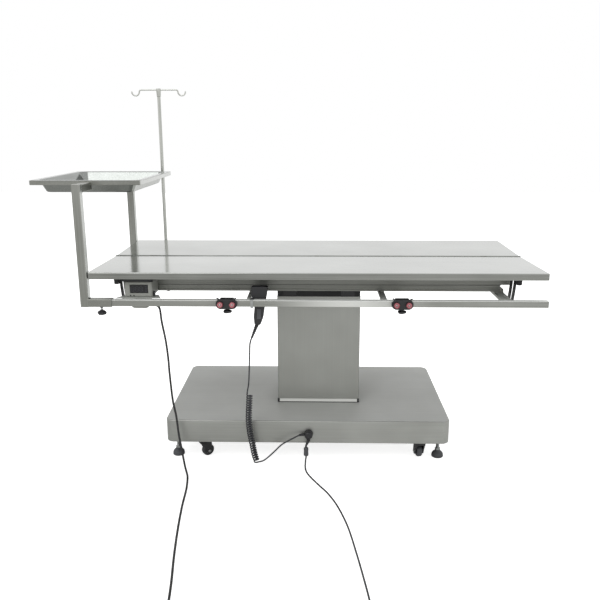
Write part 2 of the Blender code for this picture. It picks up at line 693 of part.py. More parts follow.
def make_top_frame():
    """The rings under the leaves, the head over the column, hinge lugs, struts and tilt guides."""
    upper = FRAME_TOP - FRAME_MIDDLE
    full = FRAME_TOP - FRAME_BOTTOM - WELD_DEPTH
    lower_size = (FRAME_LENGTH - 2 * FRAME_STEP, FRAME_WIDTH - 2 * FRAME_STEP, full)
    frame = put("top_frame", as_mesh(block(lower_size)), (0, 0, FRAME_BOTTOM + full / 2),
                look="painted_frame")
    join(frame, as_mesh(block((FRAME_LENGTH, FRAME_WIDTH, upper))), (0, 0, FRAME_TOP - upper / 2))
    opening = (FRAME_LENGTH - 2 * FRAME_BAR, FRAME_WIDTH - 2 * FRAME_BAR, full + 2 * OVERRUN)
    cut(frame, as_mesh(block(opening)), (0, 0, FRAME_BOTTOM + full / 2))
    spine = (FRAME_BAR, FRAME_WIDTH - FRAME_BAR, full - 2 * WELD_DEPTH)
    join(frame, as_mesh(block(spine)), (0, 0, FRAME_BOTTOM + full / 2))
    head_top = HEAD_BOTTOM + HEAD_PLATE[2]
    bar_height = FRAME_BOTTOM - head_top + 2 * FRAME_STEP
    bar = (HEAD_BAR_WIDTH, FRAME_WIDTH - 4 * FRAME_STEP, bar_height)
    bar_z = FRAME_BOTTOM + FRAME_STEP - bar_height / 2
    join(frame, gather([(block(bar), (COLUMN_X + s * HEAD_BAR_OFFSET, 0, bar_z))
                        for s in (-1, 1)]))
    join(frame, as_mesh(block(HEAD_PLATE)), (COLUMN_X, 0, HEAD_BOTTOM + HEAD_PLATE[2] / 2))
    rail_face = RAIL_Y - RAIL / 2 - GAP
    strut_root = FRAME_WIDTH / 2 - FRAME_STEP
    strut_top = RAIL_BOTTOM + RAIL - GAP
    weld_top = FRAME_BOTTOM + FRAME_STEP
    outline = [(strut_root - STRUT_LAP, strut_top - STRUT_THICKNESS),
               (rail_face, strut_top - STRUT_THICKNESS), (rail_face, strut_top),
               (strut_root, strut_top), (strut_root - 2 * FRAME_STEP, weld_top),
               (strut_root - STRUT_LAP, weld_top)]
    for side in (-1, 1):
        mirrored = [(side * y, z) for y, z in outline][::side]
        for width, x in ((STRUT_WIDTH, STRUT_X), (MIDDLE_STRUT_WIDTH, MIDDLE_STRUT_X)):
            for end in (-1, 1):
                join(frame, slab(mirrored, width, 'X'), (end * x, 0, 0))
    lug_foot = FRAME_TOP - WELD_DEPTH * 3
    lug_top = PIN_Z - WELD_DEPTH
    lug = (LUG_WIDTH - KNUCKLE_GAP, LUG_THICKNESS, lug_top - lug_foot)
    xs = (-LUG_X, 0, LUG_X)
    join(frame, gather([(block(lug), (x, 0, (lug_top + lug_foot) / 2)) for x in xs]))
    eye = (BARREL_RADIUS, LUG_WIDTH - 2 * KNUCKLE_GAP, PIN_SIDES)
    join(frame, gather([(rod(*eye, axis='X'), (x, 0, PIN_Z)) for x in xs]))
    cut(frame, as_mesh(rod(BORE_RADIUS, FRAME_LENGTH + OVERRUN, PIN_SIDES, axis='X')), (0, 0, PIN_Z))
    outer_x = ARC_X + TONGUE_WIDTH / 2
    inner_x = FRAME_LENGTH / 2 - WELD_DEPTH * 3
    bracket_foot = FRAME_MIDDLE + 2 * WELD_DEPTH
    bracket = (outer_x - inner_x, BRACKET_DEPTH, BRACKET_TOP - bracket_foot)
    bracket_y = (FRAME_WIDTH - BRACKET_DEPTH) / 2 - 3 * WELD_DEPTH
    reach = ARC_RADIUS + ARC_DEPTH / 2 - WELD_DEPTH * 3
    tongue = (TONGUE_WIDTH - WELD_DEPTH / 2, TONGUE_LENGTH, TONGUE_THICKNESS)
    middle = reach - TONGUE_LENGTH / 2
    for side in (-1, 1):
        spots = [(end * (outer_x + inner_x) / 2, side * bracket_y,
                  (BRACKET_TOP + bracket_foot) / 2) for end in (-1, 1)]
        join(frame, gather([(block(bracket), spot) for spot in spots]))
        for end in (-1, 1):
            at = (end * ARC_X, side * middle * math.cos(TONGUE_ANGLE),
                  PIN_Z - middle * math.sin(TONGUE_ANGLE))
            join(frame, as_mesh(block(tongue)), at, (-side * TONGUE_ANGLE, 0, 0))
    return frame


def make_rails():
    for name, side in (("front_rail", -1), ("rear_rail", 1)):
        bar = block((RAIL_LENGTH, RAIL, RAIL), RAIL_EDGE, grain=0, steps=2)
        put(name, as_mesh(bar), (0, side * RAIL_Y, RAIL_Z))


def sector(inner, outer, start, end):
    """A ring sector under the fold on the -Y side; angles are below the horizontal."""
    out = arc((0, 0), outer, math.pi + start, math.pi + end, ARC_STEPS)
    back = arc((0, 0), inner, math.pi + end, math.pi + start, ARC_STEPS)
    return out + back


def make_tilt_arcs():
    """Slotted guides centred on the fold, each with its foot under the leaf and its buffer."""
    inner = ARC_RADIUS - ARC_DEPTH / 2
    outer = ARC_RADIUS + ARC_DEPTH / 2
    half = (TONGUE_THICKNESS / 2 + GAP) / inner
    slot_start = TONGUE_ANGLE + FOLD_SLOPE - half
    slot_end = TONGUE_ANGLE + FOLD_SLOPE + half + TILT_RANGE + ARC_END_MARGIN
    under = PIN_DROP - SHEET - GAP
    for half_name, quarter in (("front", 0), ("rear", math.pi)):
        for end_name, end in (("left", -1), ("right", 1)):
            at = (end * ARC_X, 0, PIN_Z)
            turn = (-FOLD_SLOPE, 0, quarter)
            outward = end * math.cos(quarter) * BUFFER_OUT
            blade = slab(sector(inner, outer, ARC_START, slot_end + ARC_BRIDGE), ARC_WIDTH, 'X')
            item = put(f"tilt_arc_{half_name}_{end_name}", blade, at, turn, "black_plastic")
            cut(item, slab(sector(inner - OVERRUN, outer + OVERRUN, slot_start, slot_end),
                           ARC_SLOT, 'X'), at, turn)
            foot = [(block(ARC_FOOT), (outward / 2, -ARC_FOOT_MIDDLE, under - ARC_FOOT[2] / 2))]
            join(item, gather(foot), at, turn)
            start = under - ARC_FOOT[2] / 2
            cone = rod(BUFFER_BOTTOM, BUFFER_HEIGHT, 12, BUFFER_TOP)
            join(item, gather([(cone, (outward, -BUFFER_MIDDLE, start - BUFFER_HEIGHT / 2))]),
                 at, turn)


def sleeve(name, size, wall, bottom, top, look, glide_in, glide_out):
    """A rectangular tube with a glide ring inside its foot or outside its head."""
    height = top - bottom
    middle = (COLUMN_X, 0, (top + bottom) / 2)
    body = put(name, as_mesh(block((*size, height), SLEEVE_CORNER, steps=2)), middle, look=look)
    ring = SLEEVE_SPACE - SLIDE_GAP
    if glide_out:
        head = (size[0] + 2 * ring, size[1] + 2 * ring, GLIDE_HEIGHT)
        join(body, as_mesh(block(head, SLEEVE_CORNER, steps=2)),
             (COLUMN_X, 0, top - GLIDE_HEIGHT / 2 - WELD_DEPTH))
    foot = GLIDE_HEIGHT if glide_in else -OVERRUN
    hollow = (size[0] - 2 * wall, size[1] - 2 * wall, height - foot + OVERRUN)
    cut(body, as_mesh(block(hollow, SLEEVE_CORNER, steps=2)),
        (COLUMN_X, 0, bottom + foot + hollow[2] / 2))
    if glide_in:
        mouth = (hollow[0] - 2 * ring, hollow[1] - 2 * ring, GLIDE_HEIGHT + 2 * OVERRUN)
        cut(body, as_mesh(block(mouth, SLEEVE_CORNER, steps=2)), (COLUMN_X, 0, bottom + GLIDE_HEIGHT / 2))
    return body


def make_column():
    """Three nested sleeves round a two-stage lift spindle, with the seal and the foot trim."""
    sleeve("inner_column", INNER_COLUMN, SLEEVE_WALL, BAR_TOP + GAP, INNER_TOP, "satin_steel",
           False, True)
    sleeve("outer_sleeve", OUTER_SLEEVE, SLEEVE_WALL, SLEEVE_BOTTOM, OUTER_TOP, "satin_steel",
           True, False)
    middle = sleeve("middle_sleeve", MIDDLE_SLEEVE, SLEEVE_WALL, SLEEVE_BOTTOM, MIDDLE_TOP,
                    "satin_steel", True, True)
    bridge_z = MIDDLE_TOP - BRIDGE[1] / 2 - 2 * WELD_DEPTH
    bridge = (MIDDLE_SLEEVE[0] - SLEEVE_WALL, *BRIDGE)
    join(middle, as_mesh(block(bridge)), (COLUMN_X, 0, bridge_z))
    stage_length = bridge_z - STAGE_LIFT_OFF
    stage_z = (bridge_z + STAGE_LIFT_OFF) / 2
    join(middle, as_mesh(rod(STAGE_RADIUS, stage_length)), (COLUMN_X, 0, stage_z))
    cut(middle, as_mesh(rod(STAGE_BORE, stage_length + BRIDGE[1] + OVERRUN)),
        (COLUMN_X, 0, stage_z))
    seal_height = HEAD_BOTTOM - OUTER_TOP - 2 * GAP
    seal_size = (OUTER_SLEEVE[0] - 2 * SEAL_STEP, OUTER_SLEEVE[1] - 2 * SEAL_STEP, seal_height)
    seal_at = (COLUMN_X, 0, OUTER_TOP + GAP + seal_height / 2)
    seal = put("sleeve_seal", as_mesh(block(seal_size, SLEEVE_CORNER)), seal_at,
               look="black_rubber")
    bore = (MIDDLE_SLEEVE[0], MIDDLE_SLEEVE[1], seal_height + OVERRUN)
    cut(seal, as_mesh(block(bore)), seal_at)
    rod_bottom = STAGE_LIFT_OFF + OVERRUN
    rod_top = HEAD_BOTTOM - GAP
    put("push_rod", as_mesh(rod(ROD_RADIUS, rod_top - rod_bottom)),
        (COLUMN_X, 0, (rod_top + rod_bottom) / 2), look="zinc")
    plate_bottom = BAR_TOP - COLUMN_PLATE[1]
    motor_at = (COLUMN_X, 0, plate_bottom - GAP - GEARBOX[2] / 2)
    motor = put("lift_motor", as_mesh(block(GEARBOX, SLEEVE_CORNER)), motor_at, look="zinc")
    tube_bottom = plate_bottom - GEARBOX[2] / 2
    tube_length = SPINDLE_TOP - tube_bottom
    join(motor, as_mesh(rod(SPINDLE_RADIUS, tube_length)),
         (COLUMN_X, 0, tube_bottom + tube_length / 2))
    cut(motor, as_mesh(rod(SPINDLE_BORE, tube_length)),
        (COLUMN_X, 0, tube_bottom + tube_length / 2 + COLUMN_PLATE[1]))
    trim_height = TRIM_TOP - BASE_TOP - GAP
    trim_at = (COLUMN_X, 0, BASE_TOP + GAP + trim_height / 2)
    trim_size = (OUTER_SLEEVE[0] + 2 * TRIM_STEP, OUTER_SLEEVE[1] + 2 * TRIM_STEP, trim_height)
    trim = put("column_foot_trim", as_mesh(block(trim_size, SLEEVE_CORNER)), trim_at,
               look="polished_steel")
    clear = (INNER_COLUMN[0] + 2 * SLIDE_GAP, INNER_COLUMN[1] + 2 * SLIDE_GAP,
             trim_height + OVERRUN)
    cut(trim, as_mesh(block(clear)), trim_at)


def foot_places():
    """Plan places of the four feet, by name."""
    x = BASE_SIZE[0] / 2 - FOOT_INSET
    y = BASE_SIZE[1] / 2 - FOOT_FRONT_INSET
    return {f"{row}_{end}": (BASE_X + e * x, r * y) for row, r in (("front", -1), ("rear", 1))
            for end, e in (("left", -1), ("right", 1))}


def caster_places():
    """Plan places of the four swivel axes, by name."""
    xs = {"left": BASE_X - BASE_SIZE[0] / 2 + CASTER_LEFT_INSET,
          "right": BASE_X + BASE_SIZE[0] / 2 - CASTER_RIGHT_INSET}
    y = BASE_SIZE[1] / 2 - CASTER_FRONT_INSET
    return {f"{row}_{end}": (xs[end], r * y) for row, r in (("front", -1), ("rear", 1))
            for end in xs}


def make_base():
    """The folded cover and the welded frame that carries it, the column, feet and casters."""
    height = BASE_TOP - BASE_BOTTOM
    size = (*BASE_SIZE, height)
    shape = open_below(block(size, BASE_CORNER, BASE_EDGE), size, BASE_HEM)
    cover = shell("base_cover", shape, SHEET, (BASE_X, 0, BASE_BOTTOM + height / 2))
    hole = (INNER_COLUMN[0] + 2 * SLIDE_GAP, INNER_COLUMN[1] + 2 * SLIDE_GAP, OVERRUN)
    cut(cover, as_mesh(block(hole)), (COLUMN_X, 0, BASE_TOP))
    cut(cover, as_mesh(rod(GLAND_STUB_RADIUS + GAP, OVERRUN * 2, axis='Y')),
        (GLAND_X, -BASE_SIZE[1] / 2, GLAND_Z))
    width, thick = BAR
    feet = foot_places()
    casters = caster_places()
    bar_z = BAR_TOP - thick / 2
    cross = (width, BASE_SIZE[1] - 2 * SHEET - 2 * BAR_INSET, thick)
    left_x, foot_y = feet["front_left"]
    right_x = feet["front_right"][0]
    caster_y = casters["rear_left"][1]
    frame = put("base_frame", as_mesh(block(cross)), (left_x, 0, bar_z), look="painted_frame")
    join(frame, as_mesh(block(cross)), (right_x, 0, bar_z))
    inset = 2 * WELD_DEPTH
    beam = (right_x - left_x, width, thick - inset)
    join(frame, gather([(block(beam), ((left_x + right_x) / 2, s * caster_y, bar_z))
                        for s in (-1, 1)]))
    plate = (COLUMN_PLATE[0], 2 * caster_y, COLUMN_PLATE[1])
    join(frame, as_mesh(block(plate)), (COLUMN_X, 0, BAR_TOP - COLUMN_PLATE[1] / 2))
    cut(frame, as_mesh(rod(SPINDLE_RADIUS + SLIDE_GAP, plate[2] + 2 * OVERRUN)),
        (COLUMN_X, 0, BAR_TOP - COLUMN_PLATE[1] / 2))
    post = (POST_WIDTH, POST_WIDTH, BAR_TOP - CASTER_TOP - thick / 2)
    join(frame, gather([(block(post), (x, y, CASTER_TOP + post[2] / 2))
                        for x, y in casters.values()]))
    hole_bottom = BAR_TOP - thick - OVERRUN
    stem_hole = STEM_HOLE_DEPTH + OVERRUN
    cut(frame, gather([(rod(STEM_RADIUS + GAP, stem_hole, 12), (x, y, hole_bottom + stem_hole / 2))
                       for x, y in feet.values()]))
    stub = GLAND_STUB
    gland_y = -BASE_SIZE[1] / 2 - GAP
    gland = put("cable_gland",
                as_mesh(rod(GLAND_RADIUS, GLAND_LENGTH, GLAND_SIDES, GLAND_RADIUS, 'Y', flat=True)),
                (GLAND_X, gland_y - GLAND_LENGTH / 2, GLAND_Z), look="black_plastic")
    nose = rod(GLAND_RADIUS, GLAND_NOSE, GLAND_SIDES, GLAND_STUB_RADIUS, 'Y', flat=True)
    join(gland, as_mesh(nose), (GLAND_X, gland_y - GLAND_LENGTH - GLAND_NOSE / 2 + WELD_DEPTH,
                                GLAND_Z))
    join(gland, as_mesh(rod(GLAND_STUB_RADIUS, stub, GLAND_SIDES, axis='Y')),
         (GLAND_X, gland_y + stub / 2 - WELD_DEPTH * 3, GLAND_Z))


def make_feet():
    profile = ((0, STEM_TOP), (STEM_RADIUS, STEM_TOP), (STEM_RADIUS, PAD_HEIGHT + WELD_DEPTH),
               (PAD_NECK, PAD_HEIGHT), (PAD_RADIUS, PAD_RIM), (PAD_RADIUS, WELD_DEPTH),
               (PAD_RADIUS - WELD_DEPTH, 0), (0, 0))
    for name, (x, y) in foot_places().items():
        spin(put(f"levelling_foot_{name}", turned(profile), (x, y, 0), look="grey_rubber"))


def make_casters():
    """Each fork turns about its bearing and carries its wheel on an axle behind that."""
    crown = CASTER_TOP - GAP - CASTER_BEARING
    depth = FORK_DEPTH / 2
    nose = (TRAIL, AXLE_HEIGHT)
    outline = ([(depth, crown + WELD_DEPTH), (-depth, crown + WELD_DEPTH),
                (-depth, crown - CASTER_BEARING)]
               + arc(nose, FORK_NOSE, *FORK_NOSE_SWEEP, 6)
               + [(depth + FORK_NOSE / 4, crown - CASTER_BEARING)])
    slot_top = AXLE_HEIGHT + WHEEL_RADIUS + WHEEL_CLEARANCE
    slot = (FORK_SLOT, FORK_DEPTH + TRAIL + 4 * FORK_NOSE, slot_top)
    pin_length = FORK_WIDTH - 2 * WELD_DEPTH
    half = WHEEL_WIDTH / 2
    tread = (((AXLE_RADIUS + GAP, half), (WHEEL_RADIUS - WHEEL_CROWN, half),
              (WHEEL_RADIUS, half - WHEEL_CROWN), (WHEEL_RADIUS, WHEEL_CROWN - half),
              (WHEEL_RADIUS - WHEEL_CROWN, -half), (AXLE_RADIUS + GAP, -half)))
    for name, (x, y) in caster_places().items():
        yaw = CASTER_TURNS[name]
        turn = (0, 0, yaw)
        fork = put(f"caster_fork_{name}", slab(outline, FORK_WIDTH, 'X'), (x, y, 0), turn,
                   "grey_rubber")
        cut(fork, gather([(block(slot), (0, TRAIL / 2, slot_top / 2 - WELD_DEPTH))]), (x, y, 0),
            turn)
        disc = rod(CASTER_BEARING_RADIUS, CASTER_BEARING, 12)
        join(fork, gather([(disc, (0, 0, crown + CASTER_BEARING / 2))]), (x, y, 0), turn)
        axle = rod(AXLE_RADIUS, pin_length, 10, axis='X')
        join(fork, gather([(axle, (0, TRAIL, AXLE_HEIGHT))]), (x, y, 0), turn)
        wheel_at = (x - TRAIL * math.sin(yaw), y + TRAIL * math.cos(yaw), AXLE_HEIGHT)
        spin(put(f"caster_wheel_{name}", turned(tread, closed=True), wheel_at, (0, math.pi / 2, yaw),
                 "grey_rubber"))


def knob(name, sizes, at, tip, turn=(0, 0, 0), look="black_plastic"):
    """A lobed knob under its seat at the origin, with its screw reaching up by tip."""
    neck = sizes["neck"]
    top = -sizes["drop"]
    bottom = top - sizes["thick"]
    profile = ((0, tip), (SCREW_RADIUS, tip), (SCREW_RADIUS, -GAP), (COLLAR_RADIUS, -GAP),
               (SCREW_RADIUS, -GAP - COLLAR_HEIGHT), (SCREW_RADIUS, top + neck / 2),
               (neck, top), (neck, top - WELD_DEPTH * 3), (0, top - WELD_DEPTH * 3))
    item = spin(put(name, turned(profile), at, turn, look), 12)
    grip = slab(lobed(sizes["radius"], sizes["lobes"], LOBE_SHARE), sizes["thick"])
    grip.transform(Matrix.Translation((0, 0, (top + bottom) / 2)))
    join(item, grip, at, turn)
    return item


def make_tray_stand():
    """A square-tube frame that slides on both rails, with the ring the tray hangs in."""
    height = STAND_TOP - RAIL_Z + TUBE / 2
    post_z = RAIL_Z - TUBE / 2 + height / 2
    stand_at = (STAND_X, -RAIL_Y, post_z)
    stand = put("tray_stand", as_mesh(block((TUBE, TUBE, height))), stand_at)
    join(stand, as_mesh(block((TUBE, TUBE, height))), (STAND_X, RAIL_Y, post_z))
    left = STAND_X - TUBE / 2 + WELD_DEPTH
    sleeve_size = (STAND_SLEEVE_END - left, TUBE - WELD_DEPTH, TUBE - WELD_DEPTH)
    sleeve_x = (STAND_SLEEVE_END + left) / 2
    join(stand, gather([(block(sleeve_size), (sleeve_x, s * RAIL_Y, RAIL_Z)) for s in (-1, 1)]))
    bore = RAIL + 2 * SLEEVE_PLAY
    rail_end = -RAIL_LENGTH / 2 - SLIDE_GAP
    channel = (STAND_SLEEVE_END + OVERRUN - rail_end, bore, bore)
    channel_x = (STAND_SLEEVE_END + OVERRUN + rail_end) / 2
    cut(stand, gather([(block(channel), (channel_x, s * RAIL_Y, RAIL_Z)) for s in (-1, 1)]))
    cut(stand, as_mesh(rod(SCREW_HOLE, TUBE / 2, 12)), (STAND_KNOB_X, -RAIL_Y, RAIL_Z - TUBE / 2))
    for side in (-1, 1):
        start = side * (RAIL_Y + TUBE / 2 - WELD_DEPTH)
        end = TRAY_Y + side * (TRAY_SIZE[1] / 2 - TRAY_RING / 2)
        arm = (TUBE - WELD_DEPTH, abs(start - end), TUBE - WELD_DEPTH)
        join(stand, as_mesh(block(arm)), (STAND_X, (start + end) / 2,
                                          STAND_TOP - TUBE / 2 - WELD_DEPTH))
    ring_z = TRAY_RING_BOTTOM + TRAY_RING_HEIGHT / 2
    ring_at = (TRAY_X, TRAY_Y, ring_z)
    join(stand, as_mesh(block((*TRAY_SIZE, TRAY_RING_HEIGHT), TRAY_CORNER, steps=4)), ring_at)
    inner = (TRAY_SIZE[0] - 2 * TRAY_RING, TRAY_SIZE[1] - 2 * TRAY_RING,
             TRAY_RING_HEIGHT + 2 * TUBE)
    cut(stand, as_mesh(block(inner, TRAY_CORNER - TRAY_RING / 2, steps=4)),
        (TRAY_X, TRAY_Y, ring_z - TUBE / 2))
    knob("stand_knob", STAND_KNOB, (STAND_KNOB_X, -RAIL_Y, RAIL_Z - TUBE / 2),
         (TUBE - RAIL) / 2 - GAP)


def rounded_ring(size_x, size_y, radius, steps=4):
    """Points round a rectangle with round corners."""
    half_x = size_x / 2 - radius
    half_y = size_y / 2 - radius
    points = []
    for k, (sx, sy) in enumerate(((1, 1), (-1, 1), (-1, -1), (1, -1))):
        points += arc((sx * half_x, sy * half_y), radius, math.pi / 2 * k,
                      math.pi / 2 * (k + 1), steps)
    return points


def make_tray():
    """A pressed tray: its flange lies on the stand's ring and its basin hangs through."""
    ring_top = TRAY_RING_BOTTOM + TRAY_RING_HEIGHT + GAP
    mouth = [side - 2 * (TRAY_RING + TRAY_PLAY) for side in TRAY_SIZE]
    corner = TRAY_CORNER - TRAY_RING / 2
    sections = ((TRAY_SIZE[0], TRAY_SIZE[1], TRAY_CORNER, ring_top),
                (mouth[0], mouth[1], corner, ring_top),
                (mouth[0] - 2 * TRAY_DRAFT, mouth[1] - 2 * TRAY_DRAFT, corner / 2, TRAY_BOTTOM))
    shape = bmesh.new()
    rings = [[shape.verts.new((x, y, z)) for x, y in rounded_ring(sx, sy, r)]
             for sx, sy, r, z in sections]
    count = len(rings[0])
    for upper, lower in zip(rings, rings[1:]):
        for i in range(count):
            j = (i + 1) % count
            shape.faces.new((upper[j], upper[i], lower[i], lower[j]))
    shape.faces.new(rings[-1][::-1])
    for face in shape.faces:
        face.normal_update()
    shell("instrument_tray", shape, TRAY_SHEET, (TRAY_X, TRAY_Y, 0), look="polished_steel")


def grip_outline(wall, back, lip):
    """A clamp profile round the rail, seen along it: back is its far side's thickness on the +Y
    side, and lip the height of its hook under the rail's -Y side, which clears the struts."""
    half = RAIL / 2 + SLEEVE_PLAY
    return [(-half - wall, -half - wall), (half + back, -half - wall), (half + back, half + wall),
            (-half, half + wall), (-half, half), (half, half), (half, -half), (-half, -half),
            (-half, lip - half), (-half - wall, lip - half)]


def make_pole():
    """The drip pole with its two hooks, held in a clamp on the rear rail."""
    back = CLAMP_REAR - RAIL_Y - RAIL / 2 - SLEEVE_PLAY
    clamp_at = (POLE_X, RAIL_Y, RAIL_Z)
    clamp = put("iv_clamp", slab(grip_outline(CLAMP_WALL, back, CLAMP_LIP), CLAMP_WIDTH, 'X'),
                clamp_at, look="black_plastic")
    cut(clamp, as_mesh(rod(POLE_BORE, RAIL + 4 * OVERRUN)), (POLE_X, POLE_Y, RAIL_Z))
    cut(clamp, as_mesh(rod(SCREW_HOLE, 2 * CLAMP_BACK, 12, axis='Y')),
        (POLE_X, CLAMP_REAR, RAIL_Z))
    knob("iv_knob", POLE_KNOB, (POLE_X, CLAMP_REAR, RAIL_Z), CLAMP_BACK,
         turn=(math.pi / 2, 0, 0))
    length = POLE_TOP - POLE_BOTTOM
    at = (POLE_X, POLE_Y, POLE_BOTTOM + length / 2)
    pole = put("iv_pole", as_mesh(rod(POLE_RADIUS, length, 12)), at, look="polished_steel")
    funnel = rod(FUNNEL_NECK, FUNNEL_TOP - FUNNEL_BOTTOM, 12, FUNNEL_RADIUS)
    join(pole, as_mesh(funnel), (POLE_X, POLE_Y, (FUNNEL_TOP + FUNNEL_BOTTOM) / 2))
    bar_z = HOOK_BAR_Z - HOOK_WIRE
    low = HOOK_LOW + HOOK_WIRE
    shoulder = arc((HOOK_SPAN - HOOK_SHOULDER, bar_z - HOOK_SHOULDER), HOOK_SHOULDER,
                   math.pi / 2, 0, HOOK_STEPS // 2)
    bowl = arc((HOOK_SPAN + HOOK_BOWL, low + HOOK_BOWL), HOOK_BOWL, math.pi, 2 * math.pi,
               HOOK_STEPS)
    half = shoulder + bowl + [(HOOK_SPAN + 2 * HOOK_BOWL, HOOK_TIP)]
    wire = [(-x, 0, z) for x, z in half[::-1]] + [(x, 0, z) for x, z in half]
    join(pole, tube(wire, 2 * HOOK_WIRE, FORM_SIDES), (POLE_X, POLE_Y, 0))


def make_cleats():
    """Cord cleats on the front rail: body, two toothed cams and a clamp knob."""
    width, tall, thick = CLEAT_SIZE
    radius = tall / 2
    run = width / 2 - radius
    oval = (arc((run, 0), radius, -math.pi / 2, math.pi / 2, 5)
            + arc((-run, 0), radius, math.pi / 2, 3 * math.pi / 2, 5))
    face_y = CLEAT_FRONT
    knob_seat = RAIL_BOTTOM - SLEEVE_PLAY - CLEAT_WALL
    profile = [(-y, z) for y, z in grip_outline(CLEAT_WALL, thick / 2, CLEAT_LIP)][::-1]
    axis = Vector((0, -math.cos(CAM_TILT), math.sin(CAM_TILT)))
    turn = (math.pi / 2 - CAM_TILT, 0, 0)
    for side, x in CLEAT_XS.items():
        body = put(f"cleat_{side}", slab(oval, thick, 'Y'), (x, face_y + thick / 2, CLEAT_MIDDLE),
                   look="black_plastic")
        join(body, slab(profile, CLEAT_GRIP, 'X'), (x, -RAIL_Y, RAIL_Z))
        horn_z = CLEAT_MIDDLE + tall / 2
        horns = [(rod(HORN_RADIUS, HORN_HEIGHT * 2, 8, HORN_RADIUS / 2),
                  (x + s * (HORN_X - HORN_RADIUS), face_y + thick / 2, horn_z - HORN_RADIUS))
                 for s in (-1, 1)]
        join(body, gather(horns))
        cam_z = CLEAT_MIDDLE - CAM_DROP
        for cam_side, s in (("left", -1), ("right", 1)):
            seat = Vector((x + s * CAM_X, face_y, cam_z))
            boss = BOSS_HEIGHT + thick / 2
            join(body, as_mesh(rod(BOSS_RADIUS, boss, 12)),
                 seat + axis * (BOSS_HEIGHT - boss / 2), turn)
            pin = BOSS_HEIGHT + CAM_THICKNESS
            join(body, as_mesh(rod(CAM_PIN, pin, 8)), seat + axis * pin / 2, turn)
            cam_at = seat + axis * (BOSS_HEIGHT + GAP)
            cam = put(f"cam_{side}_{cam_side}",
                      slab(lobed(CAM_RADIUS, CAM_TEETH, CAM_TOOTH_SHARE)[::2], CAM_THICKNESS),
                      cam_at, turn, "red_plastic")
            cam.data.transform(Matrix.Translation((0, 0, CAM_THICKNESS / 2)))
            cut(cam, as_mesh(rod(CAM_BORE, CAM_THICKNESS * 4, 8)), cam_at, turn)
        cut(body, as_mesh(rod(SCREW_HOLE, CLEAT_WALL * 2 + SLEEVE_PLAY, 12)),
            (x, -RAIL_Y, knob_seat))
        knob(f"cleat_knob_{side}", CLEAT_KNOB, (x, -RAIL_Y, knob_seat), CLEAT_WALL)


def make_control_box():
    """The heater's control box under the top frame's front, with its display and switch."""
    front = -FRAME_WIDTH / 2 - GAP - BOX_SIZE[1]
    box_at = (BOX_X, front + BOX_SIZE[1] / 2, BOX_TOP - BOX_SIZE[2] / 2)
    box = put("control_box", as_mesh(block(BOX_SIZE, BOX_EDGE, steps=2)), box_at, look="box_grey")
    join(box, as_mesh(block(BELLY_SIZE, BELLY_EDGE, under=BELLY_EDGE, steps=3)),
         (BELLY_X, BELLY_Y, BELLY_BOTTOM + BELLY_SIZE[2] / 2))
    side = BELLY_X + BELLY_SIZE[0] / 2
    relief_at = (side, HEATER_ROUTE[0][1], HEATER_ROUTE[0][2])
    join(box, as_mesh(rod(RELIEF_RADIUS, 2 * RELIEF_LENGTH, 12, axis='X')), relief_at)
    strut_z = RAIL_BOTTOM + RAIL - GAP - STRUT_THICKNESS / 2
    saddle = (STRUT_WIDTH + 2 * SLIDE_GAP, BOX_SIZE[1] + OVERRUN, STRUT_THICKNESS + 2 * SLIDE_GAP)
    cut(box, as_mesh(block(saddle)), (-STRUT_X, box_at[1], strut_z))
    window = (DISPLAY[0], 2 * DISPLAY_DEPTH, DISPLAY[1])
    cut(box, as_mesh(block(window)), (DISPLAY_X, front, DISPLAY_Z))
    face = BOX_X + BOX_SIZE[0] / 2
    inner = SWITCH_SIZE[0] - SWITCH_OUT + SWITCH_SWING
    pocket = (inner + OVERRUN, SWITCH_SIZE[1] + 2 * SWITCH_PLAY, SWITCH_SIZE[2] + 2 * SWITCH_SWING)
    cut(box, as_mesh(block(pocket)), (face - inner / 2 + OVERRUN / 2, SWITCH_Y, SWITCH_Z))
    rocker = block(SWITCH_SIZE, SWITCH_PLAY * 2, grain=1, steps=1)
    put("power_switch", as_mesh(rocker), (face + SWITCH_OUT - SWITCH_SIZE[0] / 2, SWITCH_Y,
                                          SWITCH_Z), look="black_plastic")


